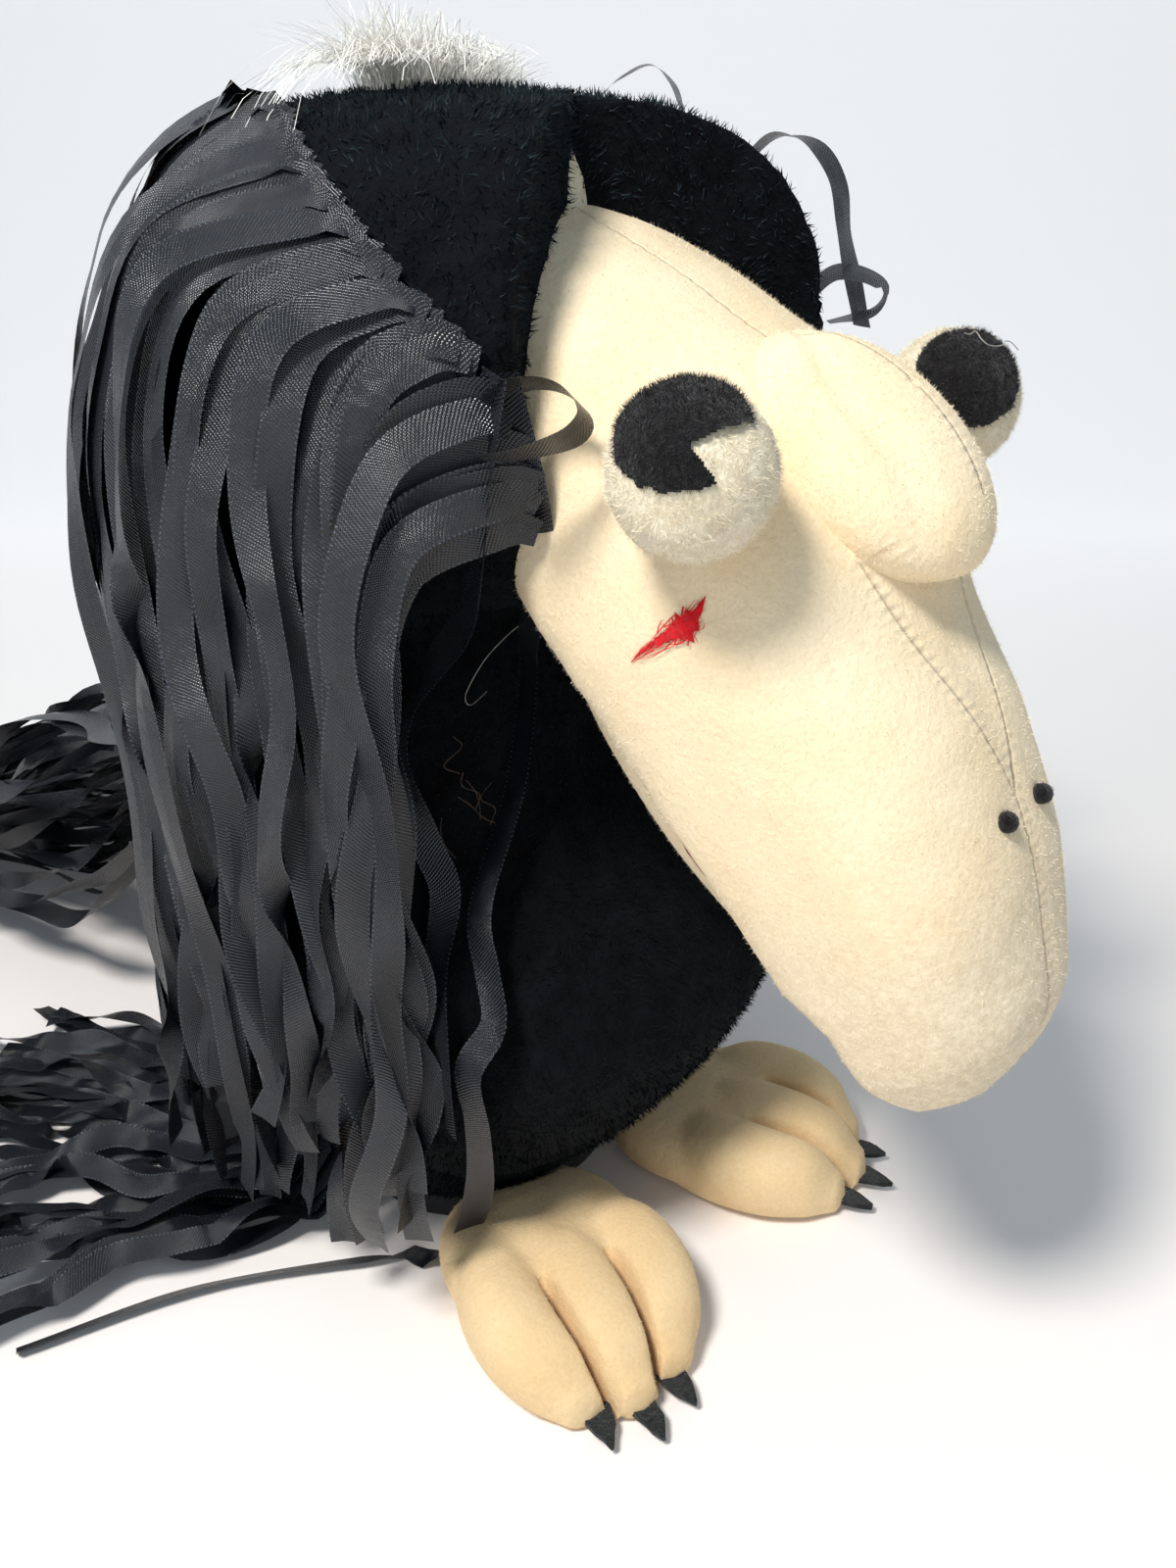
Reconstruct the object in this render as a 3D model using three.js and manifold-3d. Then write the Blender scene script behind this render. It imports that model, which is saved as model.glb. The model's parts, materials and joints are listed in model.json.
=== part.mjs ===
// Moving mouth puppet: a hand puppet of a bird with a hollow black plush body, a long drooping
// cream beak that opens over a lower beak, felted eyes, ribbon wings, a ribbon train and stuffed feet.
// Millimetres, +Z up. The puppet faces -Y and its left side is +X. The model is drawn round the arm
// tunnel's axis, and the group is moved at the end so that its bounding box stands centred on the origin.
import * as THREE from 'three';
import { mergeVertices } from 'three/addons/utils/BufferGeometryUtils.js';
import Module from 'manifold-3d';

const wasm = await Module();
wasm.setup();

// Clearances
const gap = 0.3;
const neckGap = 0.8;
const footGap = 7;
const overrun = 4;

// Body sack
const bodyHeight = 246;
const bodyHalfWidth = 100;
const bellyReach = 122;
const backReach = 82;
const hemHeight = 12;
const plushThickness = 7;
const armRadius = 46;
const sleeveWall = 1.2;
const sleeveInset = 1;
const sleeveDrop = 14;

// Neck ball between the head and the body
const neckHeight = 290;
const neckRadius = 68;
const neckBore = 44;

// Hood: the black plush back and crown of the head
const hoodBase = 262;
const hoodTop = 393;
const hoodHalfWidth = 92;
const hoodFrontReach = 130;
const hoodBackReach = 74;
const crownSetback = 12;
const notchDepth = 58;
const notchSlope = 0.58;
const handCavityRadius = 50;
const handCavityHeight = 300;
const handCavityForward = 10;

// Beak, measured along its drooping axis from the corner of the mouth
const beakRootForward = 90;
const beakRootHeight = 285;
const beakDroop = THREE.MathUtils.degToRad(51.5);
const beakLength = 202;
const beakDepth = 62;
const beakHalfWidth = 62;

// Mouth plates, linings and pockets
const plateThickness = 2;
const liningThickness = 1.5;
const mouthGap = 0.4;
const palateDrop = 14;
const mouthLength = 158;
const mouthHalfWidth = 44;
const mouthStart = 10;
const mouthBack = 4;
const pocketHalfWidth = 38;
const pocketHeight = 26;
const pocketLength = 82;
const pocketBack = 45;
const mouthTipShare = 0.62;
const mouthNarrowing = 0.22;
const thumbHalfWidth = 15;
const thumbHeight = 14;
const thumbLength = 52;
const thumbSlotLow = 251;
const thumbSlotHigh = 281;
const strapWidth = 22;
const strapThickness = 1.4;
const fingerStrapStation = 58;
const thumbStrapStation = 40;

// Lower beak
const jawLength = 150;
const jawStart = 10.2;
const jawDepth = 21;
const jawHalfWidth = 37;
const jawPivotStation = 8;
const jawPivotDrop = 18.3;
const jawCrown = 1.05;
const jawLowPower = 2.6;
const jawHighPower = 8;
const hingeRollRadius = 1.8;

// Brow, eyes and small parts of the face
const browStation = 27;
const browHeight = 61;
const browHalfLength = 42;
const browHalfWidth = 31;
const browRise = 25.5;
const browTilt = THREE.MathUtils.degToRad(34);
const browPower = 2;
const eyeRadius = 20.5;
const eyeSpread = 65;
const eyeForward = 149;
const eyeHeight = 309;
const pupilThickness = 0.9;
const pupilAngle = THREE.MathUtils.degToRad(41);
const biteShare = 0.42;
const biteOffset = 0.95;
const nostrilRadius = 2.5;
const nostrilStation = 128;
const nostrilSpread = 11;
const markStation = 46.2;
const markHeight = 20;
const markRadius = 6;
const markHalfWidth = 12;
const markTail = 13;
const markThickness = 2.2;

// Crown tuft
const tuftHalfLength = 30;
const tuftHalfWidth = 13;
const tuftHeight = 30;
const tuftPad = 3;
const tuftPadRise = 9;
const tuftLocks = 9;
const tuftLockWidth = 5.5;
const tuftSpreadShare = 0.62;
const lockTurn = 2.4;
const lockRise = 1.5;

// Ribbons: one satin ribbon everywhere
const ribbonWidth = 10;
const ribbonThickness = 1.2;
const ribbonRest = 0.8;
const tapeHeight = 6;
const tapeThickness = 2.6;

// Wings: their seam runs from the cheek up to the crown and on to the back of the hood
const seamCheekSpread = 75;
const seamCheekForward = 95;
const seamCheekHeight = 328;
const seamCrownSpread = 60;
const seamCrownForward = 10;
const seamCrownHeight = 385;
const seamBackSpread = 18;
const seamBackSetback = 50;
const seamBackHeight = 372;
const seamDepth = 12;
const wingReach = 114;
const wingBackReach = 102;
const wingShoulder = 9;
const wingFall = 46;
const wingRibbons = 24;
const wingGroupNames = ['front', 'side', 'rear'];

// Train on the table behind the puppet, and the side ribbons
const trainHeight = 178;
const trainLength = 467.57;
const trainRibbons = 12;
const trainSpread = 96;
const trainTapeHalfWidth = 56;
const trainRounding = 0.08;
const trainGatherSteps = 4;
const sideRibbons = 6;
const sideRun = 185;
const sideSeamHeight = 30;
const sideSeamFrom = -0.05;
const sideSeamTo = 0.6;
const sideHeadingFrom = THREE.MathUtils.degToRad(24);
const sideHeadingTo = THREE.MathUtils.degToRad(80);
const kneeReach = 26;
const kneeDropShare = 0.42;
const sideBend = 10;

// Feet
const ankleSpread = 35;
const ankleForward = 45;
const heelRadius = 7;
const heelHeight = 11;
const footLength = 112;
const footHeight = 34;
const toeOut = THREE.MathUtils.degToRad(20);
const splay = THREE.MathUtils.degToRad(12);
const ankleTabWidth = 9;
const ankleTabLength = 40;
const toeRadius = 15;
const toeSplay = 26;
const toePower = 2.3;
const flatCut = 0.5;
const tableReach = 448;
const clawLength = 15;
const clawWidth = 9;
const clawThickness = 2.4;
const clawLift = 4;
const clawSpreadShare = 0.62;
const clawReachShare = 0.93;

// Colours and finishes
const finishes = {
  plush: { color: 0x0d1114, roughness: 0.95 },
  foam: { color: 0xd9d2bd, roughness: 0.9 },
  lining: { color: 0x1c1c20, roughness: 0.85 },
  fleece: { color: 0xeee0c4, roughness: 0.9 },
  footFleece: { color: 0xe3cda6, roughness: 0.9 },
  board: { color: 0x8b6f4e, roughness: 0.8 },
  mouth: { color: 0x8d2b2e, roughness: 0.85 },
  eyeWool: { color: 0xe6e0c9, roughness: 0.95 },
  blackWool: { color: 0x121014, roughness: 0.95 },
  redWool: { color: 0xc81e24, roughness: 0.9 },
  satin: { color: 0x1a2028, roughness: 0.42 },
  tuft: { color: 0xded9cb, roughness: 0.5 },
  elastic: { color: 0xf2f2ee, roughness: 0.7 },
};

// Solids and meshes
const toSolid = (geometry) => {
  const bare = geometry.index ? geometry.clone() : geometry;
  bare.deleteAttribute('normal');
  bare.deleteAttribute('uv');
  const merged = mergeVertices(bare, 1e-4);
  return new wasm.Manifold(new wasm.Mesh({
    numProp: 3,
    vertProperties: new Float32Array(merged.attributes.position.array),
    triVerts: new Uint32Array(merged.index.array),
  }));
};

const toGeometry = (solid) => {
  const mesh = solid.getMesh();
  const geometry = new THREE.BufferGeometry();
  geometry.setAttribute('position', new THREE.BufferAttribute(Float32Array.from(mesh.vertProperties), 3));
  geometry.setIndex(Array.from(mesh.triVerts));
  geometry.computeVertexNormals();
  return geometry;
};

const puppet = new THREE.Group();

const addPiece = (name, solid, finish) => {
  const mesh = new THREE.Mesh(toGeometry(solid), new THREE.MeshStandardMaterial({ ...finish, metalness: 0 }));
  mesh.name = name;
  puppet.add(mesh);
};

const joinAll = (solids) => solids.reduce((sum, solid) => sum.add(solid));

// A closed skin over rings of equal count. An end is a point, or a flat fan over its last ring.
const loft = (rings, startPoint, endPoint) => {
  const count = rings[0].length;
  const points = rings.flat();
  const faces = [];
  for (let ring = 0; ring + 1 < rings.length; ring += 1) {
    for (let k = 0; k < count; k += 1) {
      const a = ring * count + k;
      const b = ring * count + ((k + 1) % count);
      faces.push(a, b, b + count, a, b + count, a + count);
    }
  }
  const middle = (ring) => ring.reduce((sum, p) => sum.add(p), new THREE.Vector3()).divideScalar(count);
  const start = points.push(startPoint ?? middle(rings[0])) - 1;
  const end = points.push(endPoint ?? middle(rings[rings.length - 1])) - 1;
  const last = (rings.length - 1) * count;
  for (let k = 0; k < count; k += 1) {
    const next = (k + 1) % count;
    faces.push(start, next, k, end, last + k, last + next);
  }
  const geometry = new THREE.BufferGeometry().setFromPoints(points);
  geometry.setIndex(faces);
  return toSolid(geometry);
};

// Smooth values between the rows of a table, by the rows' first column
const spline = (rows, t) => {
  let k = 0;
  while (k + 2 < rows.length && t > rows[k + 1][0]) k += 1;
  const span = (t - rows[k][0]) / (rows[k + 1][0] - rows[k][0]);
  const before = rows[Math.max(k - 1, 0)];
  const after = rows[Math.min(k + 2, rows.length - 1)];
  return rows[k].map((value, column) => {
    const curve = new THREE.SplineCurve([
      new THREE.Vector2(0, before[column]),
      new THREE.Vector2(0, value),
      new THREE.Vector2(0, rows[k + 1][column]),
      new THREE.Vector2(0, after[column]),
    ]);
    return curve.getPoint((1 + Math.min(Math.max(span, 0), 1)) / 3).y;
  });
};

// A point of a rounded outline: half-width across, and its own reach to the front and to the back
const frontPower = 2.4;
const backPower = 2.2;
const roundPoint = (angle, halfWidth, front, back, power1 = frontPower, power2 = backPower) => {
  const c = Math.cos(angle);
  const s = Math.sin(angle);
  const power = s < 0 ? power1 : power2;
  const reach = s < 0 ? front : back;
  return [
    halfWidth * Math.sign(c) * Math.abs(c) ** (2 / power),
    reach * Math.sign(s) * Math.abs(s) ** (2 / power),
  ];
};

const turn = (k, count) => (k / count) * Math.PI * 2;

const cylinder = (radius, low, high, sides, x = 0, y = 0) => {
  const geometry = new THREE.CylinderGeometry(radius, radius, high - low, sides);
  geometry.rotateX(Math.PI / 2);
  geometry.translate(x, y, (high + low) / 2);
  return toSolid(geometry);
};

// Body sack: height, half-width, front reach and back reach, as shares of the four body sizes
const bodyShares = [
  [0, 0.57, 0.44, 0.75],
  [0.05, 0.6, 0.46, 0.82],
  [0.12, 0.7, 0.57, 0.88],
  [0.22, 0.85, 0.76, 0.95],
  [0.34, 0.95, 0.92, 0.99],
  [0.45, 1, 1, 1],
  [0.55, 1, 0.92, 0.99],
  [0.65, 0.98, 0.69, 0.97],
  [0.75, 0.96, 0.52, 0.95],
  [0.85, 0.94, 0.45, 0.93],
  [1, 0.91, 0.43, 0.9],
];
const bodySides = 30;
const bodyRows = 8;

const bodyPoint = (height, angle, inset) => {
  const [, width, front, back] = spline(bodyShares, height / bodyHeight);
  const [x, y] = roundPoint(
    angle,
    width * bodyHalfWidth - inset,
    front * bellyReach - inset,
    back * backReach - inset,
  );
  return new THREE.Vector3(x, y, height);
};

const bodyForm = (low, high, inset, rows = bodyRows) => {
  const rings = [];
  for (let row = 0; row <= rows; row += 1) {
    const height = THREE.MathUtils.lerp(low, high, row / rows);
    const share = Math.min(Math.max(height, 0), bodyHeight);
    const ring = Array.from({ length: bodySides }, (_, k) => bodyPoint(share, turn(k, bodySides), inset));
    rings.push(ring.map((p) => p.setZ(height)));
  }
  return loft(rings);
};

// Hood: height, half-width, front reach and back reach, as shares of the hood's sizes
const hoodShares = [
  [0, 0.98, 0.74, 1],
  [0.17, 1, 0.84, 0.99],
  [0.36, 1, 0.94, 0.96],
  [0.55, 0.98, 1, 0.89],
  [0.69, 0.93, 0.98, 0.81],
  [0.81, 0.85, 0.89, 0.7],
  [0.9, 0.73, 0.76, 0.57],
  [0.96, 0.55, 0.57, 0.41],
  [0.99, 0.3, 0.33, 0.16],
];
const hoodFrontPower = 2.8;
const hoodSides = 30;
const hoodRows = 8;

const hoodPoint = (share, angle, inset) => {
  const [, width, front, back] = spline(hoodShares, share);
  const [x, y] = roundPoint(
    angle,
    width * hoodHalfWidth - inset,
    front * hoodFrontReach - inset,
    back * hoodBackReach - inset,
    hoodFrontPower,
  );
  const notch = inset - notchDepth - notchSlope * Math.abs(x);
  const z = THREE.MathUtils.lerp(hoodBase, hoodTop, share);
  return new THREE.Vector3(x, Math.max(y, notch), z);
};

const hoodForm = (inset, drop = 0) => {
  const rings = [];
  const topShare = hoodShares[hoodShares.length - 1][0];
  for (let row = 0; row <= hoodRows; row += 1) {
    const share = topShare * (1 - (1 - row / hoodRows) ** 1.5);
    const ring = Array.from({ length: hoodSides }, (_, k) => hoodPoint(share, turn(k, hoodSides), inset));
    rings.push(ring.map((p) => p.setZ(p.z - inset * share)));
  }
  rings.unshift(rings[0].map((p) => p.clone().setZ(hoodBase - drop)));
  if (drop === 0) rings.shift();
  return loft(rings, null, new THREE.Vector3(0, -crownSetback, hoodTop - inset));
};

// Whether a point lies inside the hood grown by a margin, and where a line out of the hood leaves it
const inHood = (p, grow) => {
  const share = (p.z - hoodBase) / (hoodTop - hoodBase + grow);
  if (share > hoodShares[hoodShares.length - 1][0]) return false;
  const [, width, front, back] = spline(hoodShares, share);
  const reach = p.y < 0 ? front * hoodFrontReach + grow : back * hoodBackReach + grow;
  const power = p.y < 0 ? hoodFrontPower : backPower;
  const round = Math.abs(p.x / (width * hoodHalfWidth + grow)) ** power + Math.abs(p.y / reach) ** power;
  return round < 1 && p.y > -grow - notchDepth - notchSlope * Math.abs(p.x);
};
const leaveHood = (start, direction, grow) => {
  let near = 0;
  let far = hoodHalfWidth;
  for (let k = 0; k < 24; k += 1) {
    const middle = (near + far) / 2;
    if (inHood(start.clone().addScaledVector(direction, middle), grow)) near = middle;
    else far = middle;
  }
  return start.clone().addScaledVector(direction, near);
};

const ball = (radius, x, y, z, sides = 28) => {
  const geometry = new THREE.SphereGeometry(radius, sides, sides / 2);
  geometry.rotateX(Math.PI / 2);
  geometry.translate(x, y, z);
  return toSolid(geometry);
};

// Upper beak: station, its underside (s, h), its ridge (s, h) and its half-width, as shares of the sizes
const beakShares = [
  [0, -0.15, -0.226, -0.47, 0.32, 0.8],
  [1, -0.03, -0.226, -0.4, 0.37, 0.93],
  [2, 0, -0.226, -0.27, 0.61, 0.98],
  [3, 0.1, -0.226, -0.13, 0.83, 1],
  [4, 0.2, -0.226, 0.02, 1.03, 0.98],
  [5, 0.32, -0.226, 0.21, 1.08, 0.93],
  [6, 0.445, -0.226, 0.355, 1, 0.87],
  [7, 0.57, -0.226, 0.52, 0.97, 0.79],
  [8, 0.69, -0.226, 0.69, 0.85, 0.73],
  [9, 0.8, -0.24, 0.81, 0.69, 0.655],
  [10, 0.895, -0.27, 0.9, 0.54, 0.545],
  [11, 0.965, -0.19, 0.965, 0.28, 0.36],
];
const beakSides = 24;
const beakLowShare = 0.36;
const beakLowPower = 5;
const beakHighPower = 2.5;

const beakPoint = (station, angle, grow = 0) => {
  const [, lowS, lowH, highS, highH, width] = spline(beakShares, station);
  const low = beakPlace(0, lowS * beakLength, lowH * beakDepth - grow);
  const high = beakPlace(0, highS * beakLength, highH * beakDepth + grow);
  const span = high.clone().sub(low);
  const [x, rise] = roundPoint(
    angle,
    width * beakHalfWidth + grow,
    beakLowShare,
    1 - beakLowShare,
    beakLowPower,
    beakHighPower,
  );
  return low.addScaledVector(span, beakLowShare + rise).setX(x);
};

const beakForm = (grow = 0) => {
  const rings = [];
  const stations = beakShares[beakShares.length - 1][0];
  for (let row = 0; row <= stations; row += 1) {
    rings.push(Array.from({ length: beakSides }, (_, k) => beakPoint(row, turn(k, beakSides), grow)));
  }
  return loft(rings, null, beakPlace(0, beakLength + grow, 0));
};

const mouthOutline = (halfWidth, start, length, sides = 28) => {
  const points = [[-halfWidth, start], [halfWidth, start]];
  const tip = length * mouthTipShare;
  for (let k = 0; k <= sides; k += 1) {
    const angle = (k / sides) * Math.PI;
    const narrow = 1 - mouthNarrowing * Math.sin(angle);
    points.push([halfWidth * Math.cos(angle) * narrow, tip + (length - tip) * Math.sin(angle)]);
  }
  return points;
};

// Beak frame: s runs down the beak from the corner of the mouth, h rises square to it, x is across
const beakDown = new THREE.Vector3(0, -Math.cos(beakDroop), -Math.sin(beakDroop));
const beakUp = new THREE.Vector3(0, -Math.sin(beakDroop), Math.cos(beakDroop));
const beakPlace = (x, s, h) => new THREE.Vector3(x, -beakRootForward, beakRootHeight)
  .addScaledVector(beakDown, s)
  .addScaledVector(beakUp, h);

// A slab in the beak frame over an outline of (x, s) points, between two heights h
const beakSlab = (outline, low, high) => {
  const rings = [high, low].map((h) => outline.map(([x, s]) => beakPlace(x, s, h)));
  return loft(rings);
};

// Torso: hem band, foam, plush skin and the sleeve that the arm goes up
const neckSeat = ball(neckRadius + neckGap, 0, 0, neckHeight);
const armBore = cylinder(armRadius, -overrun, bodyHeight + overrun, 28);
const sides = [['left', 1], ['right', -1]];
const anklePlaces = sides.map(([, side]) => [side * ankleSpread, -ankleForward]);
const toPlace = (solid, [x, y], angle) => solid
  .rotate([0, 0, THREE.MathUtils.radToDeg(angle)])
  .translate([x, y, 0]);
const ankleTab = (grow, high) => {
  const tab = new THREE.BoxGeometry(ankleTabWidth + 2 * grow, ankleTabLength, high);
  tab.translate(0, -ankleTabLength / 2, high / 2);
  return toSolid(tab);
};
const splayShares = [-1, -0.5, 0, 0.5, 1];
const heelScallops = joinAll(sides.flatMap(([, side], k) => [
  cylinder(heelRadius + gap, -overrun, hemHeight + overrun, 24, ...anklePlaces[k]),
  ...splayShares.map((share) => toPlace(
    ankleTab(gap, hemHeight + overrun).translate([0, 0, -overrun / 2]),
    anklePlaces[k],
    toeOut * side + splay * share,
  )),
]));

addPiece('hem_band', bodyForm(0, hemHeight, 0, 1).subtract(armBore).subtract(heelScallops), finishes.lining);
const bodyOutside = bodyForm(hemHeight + gap, bodyHeight, 0);
const clearBody = bodyForm(hemHeight + gap, bodyHeight, -gap).add(bodyForm(0, hemHeight + gap, -gap, 1));
addPiece(
  'body_foam',
  bodyForm(hemHeight - overrun, bodyHeight + overrun, plushThickness + gap)
    .intersect(bodyOutside)
    .subtract(armBore)
    .subtract(neckSeat),
  finishes.foam,
);
addPiece(
  'body_plush',
  bodyOutside
    .subtract(bodyForm(hemHeight - overrun, bodyHeight + overrun, plushThickness))
    .subtract(neckSeat),
  finishes.plush,
);
addPiece(
  'arm_sleeve',
  cylinder(armRadius - gap, sleeveInset, bodyHeight - sleeveDrop, 28)
    .subtract(cylinder(armRadius - gap - sleeveWall, -overrun, bodyHeight, 28)),
  finishes.lining,
);

// Head: hood, foam with the neck ball and the hand cavity
const handCavity = cylinder(neckBore, bodyHeight - neckRadius, neckHeight, 24)
  .add(ball(handCavityRadius, 0, -handCavityForward, handCavityHeight, 24));
const fingerWay = beakSlab([
  [-pocketHalfWidth, -pocketBack],
  [pocketHalfWidth, -pocketBack],
  [pocketHalfWidth, pocketLength],
  [-pocketHalfWidth, pocketLength],
], -palateDrop - overrun, pocketHeight - palateDrop);
const thumbSlot = new THREE.BoxGeometry(thumbHalfWidth * 2, neckRadius, thumbSlotHigh - thumbSlotLow);
thumbSlot.translate(0, -neckRadius, (thumbSlotHigh + thumbSlotLow) / 2);
const hoodSolid = hoodForm(0);
const neckBall = ball(neckRadius, 0, 0, neckHeight)
  .subtract(cylinder(neckRadius + overrun, hoodBase + overrun, hoodTop, 24));
const mouthSpace = beakSlab([
  [-mouthHalfWidth - gap, mouthBack],
  [mouthHalfWidth + gap, mouthBack],
  [mouthHalfWidth + gap, mouthLength],
  [-mouthHalfWidth - gap, mouthLength],
], -beakDepth, -palateDrop);
const headCuts = joinAll([handCavity, fingerWay, toSolid(thumbSlot), mouthSpace]);

addPiece(
  'head_plush',
  hoodSolid.subtract(hoodForm(plushThickness, overrun)).subtract(headCuts),
  finishes.plush,
);
addPiece(
  'head_foam',
  hoodForm(plushThickness + gap).add(neckBall.subtract(hoodForm(0, overrun).subtract(
    hoodForm(plushThickness + gap, overrun + gap),
  ))).subtract(headCuts),
  finishes.foam,
);

// Upper beak, cut off flat over the palate and hollowed for the fingers
const headOutside = hoodForm(-gap).add(ball(neckRadius + gap, 0, 0, neckHeight));
const farSlab = (low, high) => beakSlab([
  [-hoodFrontReach, mouthStart - 2 * pocketLength],
  [hoodFrontReach, mouthStart - 2 * pocketLength],
  [hoodFrontReach, mouthLength + gap],
  [-hoodFrontReach, mouthLength + gap],
], low, high);
const beakSolid = beakForm().subtract(headOutside);
addPiece(
  'beak_upper',
  beakSolid.subtract(farSlab(-beakDepth, -palateDrop)).subtract(fingerWay),
  finishes.fleece,
);

const layer = (depth, thickness, halfWidth, start, length) => beakSlab(
  mouthOutline(halfWidth, start, length),
  -palateDrop - depth - thickness,
  -palateDrop - depth,
);
const palateDepth = gap;
const palateLiningDepth = palateDepth + plateThickness + gap;
const jawLiningDepth = palateLiningDepth + liningThickness + mouthGap;
const jawPlateDepth = jawLiningDepth + liningThickness + gap;
const jawTopDepth = jawPlateDepth + plateThickness + gap;
addPiece(
  'palate_plate',
  layer(palateDepth, plateThickness, mouthHalfWidth, mouthStart, mouthLength),
  finishes.board,
);
addPiece(
  'palate_lining',
  layer(palateLiningDepth, liningThickness, mouthHalfWidth, mouthStart, mouthLength),
  finishes.mouth,
);
addPiece(
  'jaw_lining',
  layer(jawLiningDepth, liningThickness, jawHalfWidth, jawStart, jawLength),
  finishes.mouth,
);
addPiece(
  'jaw_plate',
  layer(jawPlateDepth, plateThickness, jawHalfWidth, jawStart, jawLength),
  finishes.board,
);

// The roll of fabric that hinges the lower plates on the upper ones
const hingeRoll = new THREE.CylinderGeometry(hingeRollRadius, hingeRollRadius, 2 * jawHalfWidth, 16);
hingeRoll.rotateZ(Math.PI / 2);
const hingePlace = beakPlace(0, jawPivotStation, -jawPivotDrop);
hingeRoll.translate(...hingePlace.toArray());
addPiece('mouth_hinge_roll', toSolid(hingeRoll), finishes.mouth);

// Lower beak: a slim stuffed form under its plate, with a pocket for the thumb
const jawShares = [
  [0, 0.98, 0.5],
  [0.12, 1, 0.8],
  [0.35, 1, 1],
  [0.6, 0.93, 0.92],
  [0.8, 0.78, 0.7],
  [0.92, 0.56, 0.45],
  [0.98, 0.3, 0.24],
];
const jawSides = 28;
const jawTop = palateDrop + jawTopDepth;
const jawForm = () => {
  const rings = jawShares.map(([share, width, depth]) => Array.from({ length: jawSides }, (_, k) => {
    const [x, rise] = roundPoint(
      turn(k, jawSides),
      width * jawHalfWidth,
      depth * jawDepth,
      jawCrown,
      jawLowPower,
      jawHighPower,
    );
    return beakPlace(x, THREE.MathUtils.lerp(jawStart, jawLength, share), rise - jawTop - jawCrown);
  }));
  return loft(rings);
};
const thumbPocket = beakSlab([
  [-thumbHalfWidth, -overrun],
  [thumbHalfWidth, -overrun],
  [thumbHalfWidth, jawStart + thumbLength],
  [-thumbHalfWidth, jawStart + thumbLength],
], -jawTop - thumbHeight, -jawTop + overrun);
addPiece('beak_lower', jawForm().subtract(thumbPocket), finishes.fleece);

// Straps across the pockets, arched over the finger and thumb
const strap = (station, halfWidth, base, rise) => {
  const outline = [];
  const steps = 12;
  for (let k = 0; k <= steps; k += 1) {
    const angle = (k / steps) * Math.PI;
    outline.push([halfWidth * Math.cos(angle), base + rise * Math.sin(angle)]);
  }
  const inner = outline.map(([x, h]) => [
    x * (1 - strapThickness / halfWidth),
    base + (h - base) * (1 - strapThickness / Math.abs(rise)),
  ]);
  const ring = [...outline, ...inner.reverse()];
  const section = rise < 0 ? ring.reverse() : ring;
  const shape = new THREE.Shape(section.map(([x, h]) => new THREE.Vector2(x, h)));
  const geometry = new THREE.ExtrudeGeometry(shape, { depth: strapWidth, bevelEnabled: false });
  const basis = new THREE.Matrix4().makeBasis(new THREE.Vector3(1, 0, 0), beakUp, beakDown);
  basis.setPosition(beakPlace(0, station, 0));
  geometry.applyMatrix4(basis);
  return toSolid(geometry);
};
addPiece(
  'finger_strap',
  strap(fingerStrapStation, pocketHalfWidth - gap, -palateDrop, pocketHeight - gap),
  finishes.elastic,
);
addPiece(
  'thumb_strap',
  strap(thumbStrapStation, thumbHalfWidth - gap, -jawTop, gap - thumbHeight),
  finishes.elastic,
);

// Brow: a stuffed pad sewn on top of the beak between the eyes
const grownBeak = beakForm(gap);
const blob = (matrix, halfX, halfY, halfZ, power, sidesAround = 24) => {
  const geometry = new THREE.SphereGeometry(1, sidesAround, sidesAround / 2);
  const position = geometry.attributes.position;
  for (let k = 0; k < position.count; k += 1) {
    const p = new THREE.Vector3().fromBufferAttribute(position, k);
    const norm = (Math.abs(p.x) ** power + Math.abs(p.y) ** power + Math.abs(p.z) ** power) ** (1 / power);
    p.divideScalar(norm).multiply(new THREE.Vector3(halfX, halfY, halfZ)).applyMatrix4(matrix);
    position.setXYZ(k, p.x, p.y, p.z);
  }
  return toSolid(geometry);
};
const browMatrix = new THREE.Matrix4().makeRotationX(browTilt);
browMatrix.setPosition(beakPlace(0, browStation, browHeight));
const brow = blob(browMatrix, browHalfWidth, browHalfLength, browRise, browPower);
addPiece('brow_pad', brow.subtract(grownBeak), finishes.fleece);

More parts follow.
